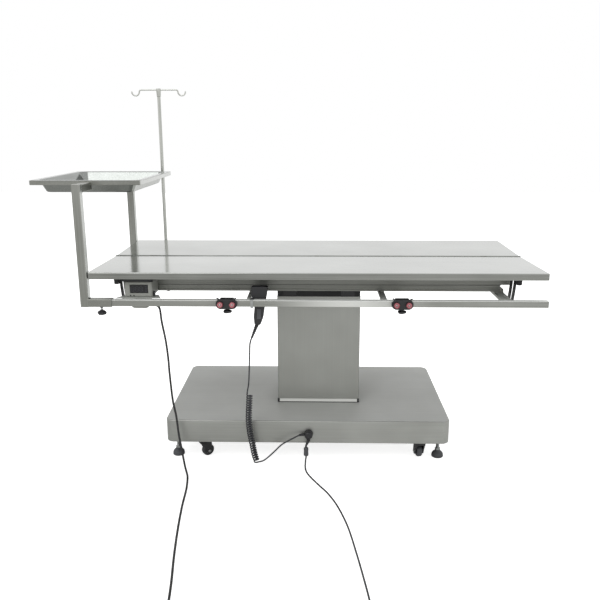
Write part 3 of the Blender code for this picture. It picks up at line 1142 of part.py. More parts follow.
def make_handset():
    """The hand control that hangs behind the front rail on its hook, with its rocker."""
    front = -RAIL_Y + RAIL / 2 + HANDSET_SETBACK
    middle = front + HANDSET_THICKNESS / 2
    bottom = HANDSET_TOP - HANDSET_HEIGHT
    outline = [(HANDSET_X + a * HANDSET_WIDTH, bottom + b * HANDSET_HEIGHT)
               for a, b in HANDSET_LEFT_SHARES + HANDSET_RIGHT_SHARES]
    body = put("handset", slab(outline, HANDSET_THICKNESS, 'Y'), (0, middle, 0),
               look="black_plastic")
    start = Vector((RELIEF_START[0], middle, RELIEF_START[1]))
    end = Vector((RELIEF_END[0], middle, RELIEF_END[1]))
    lean = math.atan2(start.x - end.x, start.z - end.z)
    relief = rod(RELIEF_TIP_RADIUS, (start - end).length, 12, RELIEF_TOP_RADIUS)
    join(body, as_mesh(relief), (start + end) / 2, (0, lean, 0))
    rail_front = -RAIL_Y - RAIL / 2 - GAP
    rail_top = RAIL_BOTTOM + RAIL + GAP
    rail_low = RAIL_BOTTOM - GAP
    inside = front + WELD_DEPTH * 3
    strap = [(rail_front - HOOK_STRAP, rail_low - HOOK_STRAP), (rail_front + RAIL / 4,
             rail_low - HOOK_STRAP), (rail_front + RAIL / 4, rail_low), (rail_front, rail_low),
             (rail_front, rail_top), (inside, rail_top), (inside, rail_top + HOOK_STRAP),
             (rail_front - HOOK_STRAP, rail_top + HOOK_STRAP)]
    join(body, slab(strap, HOOK_WIDTH, 'X'), (HOOK_X, 0, 0))
    inner = ROCKER_SIZE[1] - ROCKER_OUT + ROCKER_SWING
    pocket = (ROCKER_SIZE[0] + 2 * ROCKER_PLAY, inner + OVERRUN, ROCKER_SIZE[2] + 2 * ROCKER_SWING)
    cut(body, as_mesh(block(pocket)), (HANDSET_X, front + inner / 2 - OVERRUN / 2, ROCKER_Z))
    rocker = block(ROCKER_SIZE, ROCKER_PLAY * 2, grain=0, steps=1)
    put("handset_rocker", as_mesh(rocker),
        (HANDSET_X, front - ROCKER_OUT + ROCKER_SIZE[1] / 2, ROCKER_Z), look="zinc")


def coil_path(entry, layers, total, diameter):
    """A pile of loops: each layer spirals in or out, and the next starts after a climb of half a
    turn. It enters and leaves on the outside, heading to -Y."""
    pitch = diameter * COIL_PITCH_SHARE
    rise = diameter * COIL_RISE_SHARE
    turns_flat = (total - (layers - 1) * COIL_TURNS_UP) / layers
    period = turns_flat + COIL_TURNS_UP
    outside = diameter * COIL_ACROSS_SHARE / 2 + pitch * turns_flat / 2
    centre = (entry[0] + outside, COIL_Y)
    points = [(entry[0], COIL_Y + diameter, entry[2])]
    for i in range(total * COIL_POINTS + 1):
        turns = i / COIL_POINTS
        layer = min(int(turns / period), layers - 1)
        within = turns - layer * period
        wound = min(within, turns_flat)
        depth = wound if layer % 2 == 0 else turns_flat - wound
        climb = max(within - turns_flat, 0) / COIL_TURNS_UP if layer < layers - 1 else 0
        reach = outside - pitch * depth
        angle = math.pi + 2 * math.pi * turns
        points.append((centre[0] + reach * math.cos(angle), centre[1] + reach * math.sin(angle),
                       entry[2] + rise * (layer + climb)))
    return points


def run_to_plug(last, diameter):
    """The straight end of a coil, level for one diameter and then up to the plug's height."""
    x, y, z = last
    height = PLUG_RADIUS + GAP
    return [(x, y - diameter, z), (x, y - COIL_LEAD, height),
            (x, y - COIL_LEAD - 2 * diameter, height)]


def make_plug(name, at, look):
    """A round two-pin plug that lies on the floor and points away from its cord."""
    shoulder = PLUG_RADIUS * PLUG_SHOULDER_SHARE
    profile = ((0, 0), (PLUG_NECK, 0), (shoulder, -PLUG_CONE), (PLUG_RADIUS, -PLUG_CONE),
               (PLUG_RADIUS, -PLUG_CONE - PLUG_BODY), (0, -PLUG_CONE - PLUG_BODY))
    turn = (-math.pi / 2, 0, 0)
    item = spin(put(name, turned(profile), at, turn, look))
    tip = -PLUG_CONE - PLUG_BODY - PLUG_PIN_LENGTH / 2 + WELD_DEPTH
    pins = gather([(rod(PLUG_PIN, PLUG_PIN_LENGTH, 10), (s * PLUG_PIN_SPREAD, 0, tip))
                   for s in (-1, 1)])
    join(item, pins, at, turn)


def make_mains_cord(kind, start, route, diameter, coil, look):
    """One mains cord: the free stretch, its coil and its plug."""
    entry = (route[-1][0], COIL_Y, route[-1][2])
    lead = (entry[0], COIL_Y + GAP + 2 * diameter, entry[2])
    stretch = [start, *smooth([*route, lead], diameter * CORD_STEP_SHARE),
               (entry[0], COIL_Y + GAP + diameter, entry[2])]
    put(f"{kind}_cord", tube(stretch, diameter), look=look)
    wound = coil_path(entry, coil["layers"], coil["total"], diameter)
    wound += run_to_plug(wound[-1], diameter)
    put(f"{kind}_cord_coil", tube(wound, diameter, FORM_SIDES), look=look)
    report_gap(f"{kind}_cord_coil", wound, diameter)
    print(f"{kind}_cord: free stretch {path_length(stretch):.3f} m")
    x, y, z = wound[-1]
    make_plug(f"{kind}_plug", (x, y - GAP, z), "black_plastic")


def make_lift_cord():
    """The lift's mains cord, which starts under the gland with its inline connector."""
    top = Vector(CONNECTOR_TOP)
    half = CONNECTOR_LENGTH / 2
    middle = top - Vector((0, 0, half))
    edge = CONNECTOR_EDGE
    profile = ((0, half), (CONNECTOR_RADIUS - edge, half), (CONNECTOR_RADIUS, half - edge),
               (CONNECTOR_RADIUS, edge - half), (CONNECTOR_RADIUS - edge, -half), (0, -half))
    body = spin(put("lift_cord_connector", turned(profile), middle, look="grey_rubber"))
    gland_y = -BASE_SIZE[1] / 2 - GAP - GLAND_LENGTH / 2
    start = Vector((GLAND_X, gland_y, GLAND_Z - GLAND_RADIUS * math.cos(math.pi / GLAND_SIDES) - GAP))
    below = start - Vector((0, 0, LEAD_CORD))
    lead = smooth([start, below, top + Vector((0, 0, LEAD_CORD)), top - Vector((0, 0, edge))],
                  LEAD_CORD)
    join(body, tube(lead, LEAD_CORD))
    cord_start = tuple(top - Vector((0, 0, CONNECTOR_LENGTH + GAP)))
    make_mains_cord("lift", cord_start, LIFT_ROUTE, LIFT_CORD, LIFT_COIL, "cord_grey")


def make_heater_cord():
    side = BELLY_X + BELLY_SIZE[0] / 2 + RELIEF_LENGTH + GAP
    start = (side, HEATER_ROUTE[0][1], HEATER_ROUTE[0][2])
    make_mains_cord("heater", start, HEATER_ROUTE, HEATER_CORD, HEATER_COIL, "black_plastic")


def make_handset_cord():
    """The curly cord: a straight drop, the curls as one helix, and the lead to the gland."""
    middle = -RAIL_Y + RAIL / 2 + HANDSET_SETBACK + HANDSET_THICKNESS / 2
    relief = Vector((RELIEF_END[0], middle, RELIEF_END[1]))
    away = relief - Vector((RELIEF_START[0], middle, RELIEF_START[1]))
    away.normalize()
    start = relief + away * GAP
    straight = [start, *smooth([start + away * CURL_WIRE, *DROP_ROUTE], 3 * CURL_WIRE)]
    spine = smooth(CURL_ROUTE, CURL_WIRE)
    along = np.concatenate([[0], np.cumsum(np.linalg.norm(np.diff(spine, axis=0), axis=1))])
    along /= along[-1]
    reach = (CURL_OUTSIDE - CURL_WIRE) / 2
    curls = []
    count = CURLS * CURL_POINTS
    across = np.array((0, -1, 0))
    for i in range(count + 1):
        share = i / count
        place = np.array([np.interp(share, along, spine[:, k]) for k in range(3)])
        ahead = np.array([np.interp(share + CURL_LOOK_SHARE, along, spine[:, k]) for k in range(3)])
        behind = np.array([np.interp(share - CURL_LOOK_SHARE, along, spine[:, k]) for k in range(3)])
        forward = (ahead - behind) / np.linalg.norm(ahead - behind)
        side = np.cross(forward, across)
        angle = 2 * math.pi * CURLS * share
        ramp = min(1, share / CURL_RUN_IN_SHARE, (1 - share) / CURL_RUN_IN_SHARE)
        curls.append(place + reach * ramp * (math.cos(angle) * side + math.sin(angle) * across))
    gland_x = GLAND_X - GLAND_RADIUS * math.cos(math.pi / GLAND_SIDES) - GAP
    gland_y = -BASE_SIZE[1] / 2 - GAP - GLAND_LENGTH / 2
    end = (gland_x, gland_y, GLAND_Z)
    before = (gland_x - CURL_WIRE, gland_y, GLAND_Z)
    lead = smooth([*LEAD_ROUTE, before], 3 * CURL_WIRE)
    points = [*straight, *curls, *lead, end]
    put("handset_cord", tube(points, CURL_WIRE, FORM_SIDES), look="black_plastic")
    report_gap("handset_cord curls", curls, CURL_WIRE)
    print(f"handset_cord: as laid {path_length(points):.3f} m")


def clear_scene():
    for item in list(bpy.data.objects):
        bpy.data.objects.remove(item, do_unlink=True)
    for group in list(bpy.data.collections):
        bpy.data.collections.remove(group)


def make_collection(name):
    group = bpy.data.collections.new(name)
    bpy.context.scene.collection.children.link(group)
    return group


def make_origin():
    """The empty that carries every piece and centres the table's plan on the model's origin."""
    empty = bpy.data.objects.new("table_origin", None)
    empty.location = (-(LEFT + RIGHT) / 2, -(FRONT + REAR) / 2, 0)
    PARTS.objects.link(empty)
    return empty


clear_scene()
PARTS = make_collection("veterinary_surgery_table")
CUTTERS = make_collection("cutters")
ORIGIN = make_origin()
make_base()
make_feet()
make_casters()
make_column()
make_top_frame()
make_rails()
make_top()
make_tilt_arcs()
make_tray_stand()
make_tray()
make_pole()
make_cleats()
make_control_box()
make_handset()
make_lift_cord()
make_heater_cord()
make_handset_cord()
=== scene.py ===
import math

import bmesh
import bpy
import numpy as np
from mathutils import Matrix, Vector


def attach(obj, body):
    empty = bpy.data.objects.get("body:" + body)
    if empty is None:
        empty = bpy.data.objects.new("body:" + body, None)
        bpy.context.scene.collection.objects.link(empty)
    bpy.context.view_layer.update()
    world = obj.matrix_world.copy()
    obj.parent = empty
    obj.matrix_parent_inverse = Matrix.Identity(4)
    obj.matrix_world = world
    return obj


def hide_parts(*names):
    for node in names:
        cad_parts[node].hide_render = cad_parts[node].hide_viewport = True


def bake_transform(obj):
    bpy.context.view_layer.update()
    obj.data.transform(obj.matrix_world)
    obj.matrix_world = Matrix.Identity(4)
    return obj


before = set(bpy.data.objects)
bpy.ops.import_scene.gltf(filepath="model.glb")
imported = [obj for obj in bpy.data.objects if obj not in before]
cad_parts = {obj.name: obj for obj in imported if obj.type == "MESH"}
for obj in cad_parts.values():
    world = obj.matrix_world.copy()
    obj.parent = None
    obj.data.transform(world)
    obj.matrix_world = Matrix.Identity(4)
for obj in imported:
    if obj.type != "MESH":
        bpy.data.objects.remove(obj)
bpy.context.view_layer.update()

# Places below are measured from the middle of the top's plan, as in the part's source; SHIFT
# takes them to the model's own origin. Lengths are in metres, but in mm() they are millimetres.
SHIFT = np.array((0.0925, -0.008466, 0.0))
TAU, QUARTER = 2 * math.pi, math.pi / 2
RIGHT, BACK, FRONT, UP = (1, 0, 0), (0, 1, 0), (0, -1, 0), (0, 0, 1)
SIDES = (-1, 1)
RAIL_Y, RAIL_Z = 0.290, 0.537
PIN_Z = 0.624
LEAF_SLOPE = math.asin(0.005 / 0.3)
COLUMN = (0.007, 0, 0)
TRAY = (-0.695, 0.020, 0)
POLE_X, POLE_Y = -0.572, 0.3098
HANDSET_Y = -0.2675
GLAND = (-0.024, -0.2578, 0.104)
COIL_Y, COIL_STEPS = -1.000, 48

# ---------------------------------------------------------------- camera


def make_camera():
    """The photograph's eye: 600 x 600, a 41.4 mm lens, looking 14 degrees down."""
    yaw, pitch, roll = (math.radians(angle) for angle in (1.44, 14.10, -0.13))
    ahead = Vector((-math.sin(yaw) * math.cos(pitch), math.cos(yaw) * math.cos(pitch),
                    -math.sin(pitch)))
    right = Vector((math.cos(yaw), math.sin(yaw), 0))
    up = right.cross(ahead)
    side = math.cos(roll) * right + math.sin(roll) * up
    above = -math.sin(roll) * right + math.cos(roll) * up
    data = bpy.data.cameras.new("photo_camera")
    data.sensor_width = 36
    data.lens = 690 / 600 * 36
    camera = bpy.data.objects.new("photo_camera", data)
    bpy.context.scene.collection.objects.link(camera)
    turn = Matrix((side, above, -ahead)).transposed().to_4x4()
    place = Vector((0.0006, -2.2695, 1.0437)) + Vector(SHIFT)
    camera.matrix_world = Matrix.Translation(place) @ turn
    bpy.context.scene.camera = camera


# ---------------------------------------------------------------- surfaces


def mm(*points):
    """Points given in millimetres."""
    return np.array(points, float) / 1000


def even(points, step):
    """The same line with points a steady distance apart."""
    points = np.array(points, float)
    along = np.concatenate([[0], np.cumsum(np.linalg.norm(np.diff(points, axis=0), axis=1))])
    wanted = np.linspace(0, along[-1], max(2, round(along[-1] / step)) + 1)
    return np.stack([np.interp(wanted, along, points[:, k]) for k in range(3)], axis=1)


def smooth_path(points, step):
    """Evenly spaced points on a Catmull-Rom curve through the given ones."""
    knots = np.array(points, float)
    ends = np.vstack([2 * knots[0] - knots[1], knots, 2 * knots[-1] - knots[-2]])
    a, b, c, d = (ends[k:len(ends) - 3 + k, None, :] for k in range(4))
    t = np.linspace(0, 1, 13)[None, 1:, None]
    fine = 0.5 * (2 * b + (c - a) * t + (2 * a - 5 * b + 4 * c - d) * t ** 2
                  + (3 * b - a - 3 * c + d) * t ** 3)
    return even(np.vstack([knots[:1], fine.reshape(-1, 3)]), step)


def circle(steps):
    """The angles of evenly spaced points once round."""
    return np.arange(steps) * TAU / steps


def polar(reach, angle):
    """Points in X and Y: x is the reach times the cosine, y the reach times the sine."""
    return np.stack([reach * np.cos(angle), reach * np.sin(angle)], 1)


def arc(middle, radius, start, end, steps):
    """Points in X and Y round a middle."""
    return middle + polar(radius, np.linspace(start, end, steps))


def at_height(flat, z):
    """Points in X and Y lifted to one height."""
    return np.column_stack([flat, np.full(len(flat), z)])


def loft(loops, caps=True, closed=True, ring=False):
    """A skin over a stack of loops (count, points, 3). The end loops are closed by one face each,
    and with ring the last loop joins the first."""
    loops = np.array(loops, float)
    count, n = loops.shape[:2]
    i = np.arange(count if ring else count - 1)[:, None]
    j = np.arange(n if closed else n - 1)[None, :]
    i2, j2 = (i + 1) % count, (j + 1) % n
    quads = np.stack([i * n + j, i * n + j2, i2 * n + j2, i2 * n + j], -1).reshape(-1, 4)
    faces = quads.tolist()
    if caps and not ring:
        faces += [list(range(n))[::-1], list(range((count - 1) * n, count * n))]
    return loops.reshape(-1, 3), faces


def folded(loops, closed=True):
    """A skin over loops from the top down, with one face over its top."""
    skin, faces = loft(loops, False, closed)
    return skin, [face[::-1] for face in faces] + [list(range(len(loops[0])))]


def moved(part, at=(0, 0, 0), along=UP, facing=None):
    """The part with its own +Z turned along a direction, its +X towards facing, then set at a
    place."""
    points, faces = part
    z = np.array(along, float)
    z /= np.linalg.norm(z)
    if facing is None:
        facing = RIGHT if abs(z[0]) < 0.9 else BACK
    x = np.array(facing, float) - z * np.dot(facing, z)
    x /= np.linalg.norm(x)
    turn = np.stack([x, np.cross(z, x), z])
    return points @ turn + np.array(at, float), faces


def rounded_loop(width, depth, radius, height=0.0, steps=6):
    """A rectangle with round corners, counter-clockwise at one height."""
    radius = max(min(radius, width / 2, depth / 2) - 1e-5, 1e-5)
    corners = [arc((sx * (width / 2 - radius), sy * (depth / 2 - radius)), radius,
                   k * QUARTER, (k + 1) * QUARTER, steps + 1)
               for k, (sx, sy) in enumerate(((1, 1), (-1, 1), (-1, -1), (1, -1)))]
    return at_height(np.vstack(corners), height)


def stacked(size, corner, levels, steps=6, least=0.0, **kind):
    """Rounded rectangles, each drawn in by the inset of its (inset, height), as one loft."""
    return loft([rounded_loop(size[0] - 2 * inset, size[1] - 2 * inset,
                              max(corner - inset, least), z, steps) for inset, z in levels], **kind)


def quarter_round(radius, height, way, steps):
    """(inset, height) from an edge's flat side: the inset is the radius times one less the sine,
    and the height goes up or down by the radius times one less the cosine."""
    return [(radius * (1 - math.sin(a)), height + way * radius * (1 - math.cos(a)))
            for a in np.linspace(0, QUARTER, steps + 1)]


def edge_levels(low, high, under, over, steps):
    """(inset, height) from the bottom up, with a quarter round at each end."""
    return ((quarter_round(under, low, 1, steps) if under else [(0, low)])
            + (quarter_round(over, high, -1, steps)[::-1] if over else [(0, high)]))


def rounded_box(size, corner, under=0.0, over=0.0, steps=6, edge_steps=3):
    """A box about its centre: round upright edges, and quarter rounds at its foot and top."""
    levels = edge_levels(-size[2] / 2, size[2] / 2, under, over, edge_steps)
    return stacked(size, corner, levels, steps)


def bar(start, end, width, depth, corner=0.003, edge=0.0008, facing=None):
    """A rounded bar between two places, with softened ends."""
    start, end = np.array(start, float), np.array(end, float)
    part = rounded_box((width, depth, np.linalg.norm(end - start)), corner, edge, edge, 4, 2)
    return moved(part, (start + end) / 2, end - start, facing)


def walled(width, depth, wall, low, high, edge=0.0004):
    """A rectangular tube with 4 mm corners: its outer wall, rim, inner wall and foot as one
    closed ring of loops."""
    levels = [(0, low + edge), (0, high - edge), (edge, high), (wall - edge, high),
              (wall, high - edge), (wall, low + edge), (wall - edge, low), (edge, low)]
    return moved(stacked((width, depth), 0.004, levels, 5, 0.0008, ring=True), COLUMN)


def rounded(points, radius, steps=4, closed=False):
    """A line whose corners become quadratic arcs: the inner ones, or all of a closed line."""
    points = np.array(points, float)
    arcs = []
    for before, corner, after in zip(np.roll(points, 1, 0), points, np.roll(points, -1, 0)):
        a, b = before - corner, after - corner
        la, lb = np.linalg.norm(a), np.linalg.norm(b)
        reach = min(radius, la * 0.45, lb * 0.45)
        p, q = corner + a / la * reach, corner + b / lb * reach
        arcs.append([(1 - t) ** 2 * p + 2 * t * (1 - t) * corner + t ** 2 * q
                     for t in np.linspace(0, 1, steps + 1)])
    if closed:
        return np.vstack(arcs)
    return np.vstack([points[:1], *arcs[1:-1], points[-1:]])


def turned(profile, steps, ring=False):
    """A profile of (radius, height) carried round the Z axis: x is radius times cosine, y radius
    times sine. Both ends are closed by a face, or with ring joined."""
    return loft([at_height(polar(radius, circle(steps)), z) for radius, z in profile], ring=ring)


def lathe(radius, steps, *points):
    """A turned profile given in millimetres, with its inner corners rounded."""
    return turned(rounded(mm(*points), radius), steps)


def washer(inner, outer, low, high, edge=0.0003):
    """A ring of rectangular section with broken edges."""
    return turned([(inner, low + edge), (inner + edge, low), (outer - edge, low),
                   (outer, low + edge), (outer, high - edge), (outer - edge, high),
                   (inner + edge, high), (inner, high - edge)], 32, True)


def inset_outline(outline, amount):
    """A counter-clockwise outline drawn in by an amount along the bisector at each point."""
    before = outline - np.roll(outline, 1, axis=0)
    after = np.roll(outline, -1, axis=0) - outline
    n1, n2 = (np.stack([-edge[:, 1], edge[:, 0]], 1) / np.linalg.norm(edge, axis=1)[:, None]
              for edge in (before, after))
    middle = n1 + n2
    return outline + middle * (amount / np.maximum((middle * n1).sum(1), 0.4))[:, None]


def plate(outline, thickness, edge=0.0006, steps=2):
    """An outline in X and Y with a thickness along Z and quarter rounds at both rims."""
    outline = np.array(outline, float)
    return loft([at_height(inset_outline(outline, inset), z)
                 for inset, z in edge_levels(-thickness / 2, thickness / 2, edge, edge, steps)])


def pipe(path, radius, sides=16):
    """A round wire: a circle carried along a path in a frame that doesn't twist. Radius may be
    one number or one for each point."""
    path = np.array(path, float)
    tangent = np.gradient(path, axis=0)
    tangent /= np.linalg.norm(tangent, axis=1)[:, None]
    start = np.cross(tangent[0], (0.31, 0.52, 0.79))
    normals = [start / np.linalg.norm(start)]
    for t in tangent[1:]:
        n = normals[-1] - t * np.dot(normals[-1], t)
        normals.append(n / np.linalg.norm(n))
    normals = np.array(normals)
    across = np.cross(tangent, normals)
    angle = circle(sides)[None, :, None]
    radius = np.broadcast_to(np.array(radius, float), (len(path),))[:, None, None]
    ring = normals[:, None, :] * np.cos(angle) + across[:, None, :] * np.sin(angle)
    return loft(path[:, None, :] + radius * ring)


def lobed(radius, lobes, depth, steps):
    """An outline whose radius swells with the cosine of its angle times the lobes."""
    angle = circle(steps)
    return polar(radius * (1 - depth + depth * np.cos(lobes * angle)), angle)


def piece(name, parts, material, body, stands_for=(), turn_out=True,
          sheet=0.0, level=True, bands=None):
    """One object from several parts: its place in its mesh, its faces outwards, smooth but for
    edges sharper than 35 degrees. A level piece keeps its broad faces flat to the light. Bands
    gives each face its place in a list of materials."""
    points, faces, start = [], [], 0
    for part_points, part_faces in parts:
        points.append(part_points)
        faces += [[v + start for v in face] for face in part_faces]
        start += len(part_points)
    mesh = bpy.data.meshes.new(name)
    mesh.from_pydata((np.vstack(points) + SHIFT).tolist(), [], faces)
    if turn_out:
        shape = bmesh.new()
        shape.from_mesh(mesh)
        bmesh.ops.recalc_face_normals(shape, faces=shape.faces)
        shape.to_mesh(mesh)
        shape.free()
    for finish in material if isinstance(material, list) else [material]:
        mesh.materials.append(finish)
    if bands is not None:
        mesh.polygons.foreach_set("material_index", bands)
    mesh.shade_smooth()
    mesh.set_sharp_from_angle(angle=math.radians(35))
    item = bpy.data.objects.new(name, mesh)
    bpy.context.scene.collection.objects.link(item)
    if sheet:
        wall = item.modifiers.new("sheet", 'SOLIDIFY')
        wall.thickness = sheet
        wall.offset = -1
        wall.use_even_offset = True
    if level:
        item.modifiers.new("broad_faces", 'WEIGHTED_NORMAL').keep_sharp = True
    if body:
        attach(item, body)
    for node_name in stands_for:
        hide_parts(node_name)
    return item


def finish_facing(item, along, slot, least=0.6):
    """The faces that look along a direction take the finish in another slot."""
    polygons = item.data.polygons
    normals = np.empty(3 * len(polygons), np.float32)
    polygons.foreach_get("normal", normals)
    slots = np.empty(len(polygons), np.int32)
    polygons.foreach_get("material_index", slots)
    slots[normals.reshape(-1, 3) @ np.array(along) > least] = slot
    polygons.foreach_set("material_index", slots)


# ---------------------------------------------------------------- finishes


def linear(code):
    """Linear red, green, blue, alpha of an sRGB hex colour."""
    parts = [int(code[i:i + 2], 16) / 255 for i in (1, 3, 5)]
    return [p / 12.92 if p <= 0.04045 else ((p + 0.055) / 1.055) ** 2.4 for p in parts] + [1.0]


def add(tree, kind, inputs=None, **settings):
    """A node with its settings; each input is a value or a socket to link."""
    item = tree.nodes.new(kind)
    for key, value in settings.items():
        setattr(item, key, value)
    for key, value in (inputs or {}).items():
        if isinstance(value, bpy.types.NodeSocket):
            tree.links.new(value, item.inputs[key])
        else:
            item.inputs[key].default_value = value
    return item


def start_material(name):
    """An empty material and its Object coordinates."""
    material = bpy.data.materials.new(name)
    material.use_nodes = True
    tree = material.node_tree
    tree.nodes.clear()
    return material, tree, add(tree, 'ShaderNodeTexCoord').outputs['Object']


def end_material(material, tree, tones, rough, relief, steer, metallic, painted_highlight=None):
    """The shader: steer holds the sockets that draw its colour between two hex tones, its
    roughness between two values, and its relief, which is (strength, depth). The last argument,
    a painted highlight, is a further tone and the socket of its share."""
    ramp = add(tree, 'ShaderNodeValToRGB', {'Fac': steer[0]})
    for stop, place, tone in zip(ramp.color_ramp.elements, (0.3, 0.7), tones):
        stop.position, stop.color = place, linear(tone)
    colour = ramp.outputs['Color']
    if painted_highlight:
        colour = add(tree, 'ShaderNodeMix', {0: painted_highlight[1], 6: colour, 7: linear(painted_highlight[0])},
                     data_type='RGBA').outputs[2]
    gloss = add(tree, 'ShaderNodeMapRange', {'Value': steer[1], 'To Min': rough[0],
                                             'To Max': rough[1]})
    bump = add(tree, 'ShaderNodeBump', {'Height': steer[2], 'Strength': relief[0],
                                        'Distance': relief[1]})
    shader = add(tree, 'ShaderNodeBsdfPrincipled', {
        'Base Color': colour, 'Metallic': metallic, 'Roughness': gloss.outputs['Result'],
        'Normal': bump.outputs['Normal']})
    add(tree, 'ShaderNodeOutputMaterial', {'Surface': shader.outputs['BSDF']})
    return material


def brushed_steel(name, low, high, rough, grain, bump=6e-5, smear=0.06, streak=0.6,
                  metallic=1.0, painted_highlight=None):
    """Stainless steel sheet, belt-brushed along one axis: fine scratches stretched along the
    grain, drawn about 2 mm wide so that they show, over cloudy handling marks. The eye gets a
    soft streaky gloss across the grain. The last argument, a painted highlight, is a tone, a
    place along X and the reach on either side of it over which the steel is painted brighter."""
    material, tree, place = start_material(name)
    scale = [420.0, 420.0, 420.0]
    scale[grain] = 3.0
    stretched = add(tree, 'ShaderNodeMapping', {'Vector': place, 'Scale': scale})
    scratch = add(tree, 'ShaderNodeTexNoise', {
        'Vector': stretched.outputs['Vector'], 'Scale': 1.0, 'Detail': 3.0,
        'Roughness': 0.6}).outputs['Fac']
    cloud = add(tree, 'ShaderNodeTexNoise', {'Vector': place, 'Scale': 5.0,
                                             'Detail': 3.0}).outputs['Fac']
    share = add(tree, 'ShaderNodeMath', {0: cloud, 1: 1 - streak}, operation='MULTIPLY')
    both = add(tree, 'ShaderNodeMath', {0: scratch, 1: streak, 2: share.outputs['Value']},
               operation='MULTIPLY_ADD')
    # A painted highlight: the brighter tone, strongest at a place along X and fading over a reach
    if painted_highlight:
        tone, middle, reach = painted_highlight
        along = add(tree, 'ShaderNodeSeparateXYZ', {'Vector': place}).outputs['X']
        away = add(tree, 'ShaderNodeMath', {0: along, 1: middle}, operation='SUBTRACT')
        far = add(tree, 'ShaderNodeMath', {0: away.outputs['Value']}, operation='ABSOLUTE')
        share = add(tree, 'ShaderNodeMapRange', {
            'Value': far.outputs['Value'], 'From Min': 0.0, 'From Max': reach, 'To Min': 1.0,
            'To Max': 0.0}, interpolation_type='SMOOTHSTEP')
        painted_highlight = tone, share.outputs['Result']
    return end_material(material, tree, (low, high), (rough - smear, rough + smear), (0.35, bump),
                        (both.outputs['Value'], cloud, scratch), metallic, painted_highlight)


def moulded(name, low, high, rough, grit=900.0, bump=6e-5, metallic=0.0):
    """Injection-moulded or painted surface: a fine grain of about a millimetre, slight colour
    drift and an uneven gloss."""
    material, tree, place = start_material(name)
    grain, cloud = (add(tree, 'ShaderNodeTexNoise', {
        'Vector': place, 'Scale': scale, 'Detail': detail}).outputs['Fac']
        for scale, detail in ((grit, 2.0), (14.0, 3.0)))
    return end_material(material, tree, (low, high), (max(rough - 0.07, 0.05), rough + 0.07),
                        (0.4, bump), (cloud, grain, grain), metallic)


# The way the belt ran
ALONG, ACROSS, UPRIGHT = 0, 1, 2
# Stainless sheet of the top, polished after brushing: a clear but soft mirror
TOP_SHEET = brushed_steel("polished_stainless_top", "#AFB1AE", "#C5C7C4", 0.15, ALONG, 1e-5,
                          0.03, 0.4)
# Its skirt, the same sheet painted darker as painted shade, with fine streaks along it
PAINTED_SHADE_SKIRT = brushed_steel("stainless_skirt_painted_darker", "#7A7B77", "#999A96", 0.30, ALONG)
# Stainless sheet of the base, brushed along its length: satin, grey-green under a white room
BASE_SHEET = brushed_steel("brushed_stainless_base", "#8E8F8A", "#A9AAA6", 0.42, ALONG, 3e-5,
                           0.05, 0.35, 0.75)
# Its top deck, dulled by cleaning so it blurs what stands on it; painted lighter as painted light
PAINTED_LIT_DECK = brushed_steel("dulled_stainless_deck_painted_lighter", "#B9BAB6", "#CBCCC9", 0.58, ALONG, 3e-5,
                          0.05, 0.35, 0.35)
# The lift sleeves are brushed upright
SLEEVE_SHEET = brushed_steel("brushed_stainless_sleeve", "#989994", "#A8A9A5", 0.50, UPRIGHT,
                             3e-5, 0.05, 0.2, 0.75)
# Stainless square tube of rails, brushed along the rail, with a painted highlight at its middle
RAIL_TUBE = brushed_steel("brushed_stainless_rail", "#82837E", "#A0A19C", 0.45, ALONG,
                          metallic=0.8, painted_highlight=("#D4D5D1", 0.19, 0.27))
# Its top, matt and painted lighter than the tube: painted light on the rail's top face
PAINTED_LIT_RAIL_TOP = brushed_steel("rail_top_painted_lighter", "#D6D7D3", "#E6E7E3", 0.60, ALONG, 3e-5, 0.04,
                         metallic=0.15)
# The upright faces that look to the right, along the table, painted lighter as painted light
PAINTED_LIT_SIDE = brushed_steel("stainless_side_painted_lit", "#BCBEBA", "#DEDFDC", 0.22, UPRIGHT, 3e-5,
                            0.04)
# The rails' tube, upright and across, on the tray's stand
POST_TUBE = brushed_steel("brushed_stainless_post", "#80817B", "#A0A19C", 0.34, UPRIGHT)
ARM_TUBE = brushed_steel("brushed_stainless_arm", "#7C7D78", "#9C9D97", 0.34, ACROSS)
# Inside of the pressed tray, bright polished stainless
TRAY_SHEET = brushed_steel("bright_stainless_tray", "#7F827F", "#A3A6A4", 0.14, ACROSS, 3e-5, 0.04)
# The tray's outside keeps the duller mill finish of the sheet it was pressed from
TRAY_OUTSIDE = brushed_steel("mill_finish_tray", "#6E706D", "#8B8D89", 0.30, ACROSS, 3e-5, 0.04)
# Drip pole, bright drawn tube
POLE_TUBE = brushed_steel("bright_stainless_pole", "#A5A7A1", "#CFD0CB", 0.20, UPRIGHT, 3e-5, 0.04)
# Welded flat bar and angle of the frame under the top, satin stainless
FRAME_BAR = brushed_steel("satin_stainless_frame", "#70716C", "#8D8E89", 0.40, ALONG, 5e-5)
# Cross struts, the same bar painted lighter and less metallic, as painted light under the top
PAINTED_LIT_BAR = brushed_steel("stainless_bar_painted_lighter", "#B0B2AD", "#C6C8C3", 0.55, ACROSS, 5e-5,
                          metallic=0.3)
# The strip round the column's foot, brighter brushed stainless
FOOT_STRIP = brushed_steel("bright_stainless_strip", "#B4B6B1", "#CCCDC9", 0.32, ALONG, 3e-5, 0.04)
# Welded mild steel inside the base, grey enamel
FRAME_PAINT = moulded("grey_frame_enamel", "#3F413C", "#5E605A", 0.48, 500.0, 1e-4)
# Hinge knuckles, plain steel painted darker than the top: painted shade along the fold
HINGE_STEEL = moulded("hinge_steel_painted_darker", "#80827F", "#969894", 0.4, 700.0, 3e-5, 1.0)
# Zinc-plated fasteners
ZINC = moulded("zinc_plate", "#8E908F", "#B4B6B5", 0.38, 700.0, 3e-5, 1.0)
# Black ABS mouldings with a fine spark-eroded grain
BLACK_ABS = moulded("black_abs", "#141416", "#232326", 0.42)
# Nylon glass-filled tilt guides
BLACK_NYLON = moulded("black_nylon", "#101011", "#1D1D1F", 0.50)
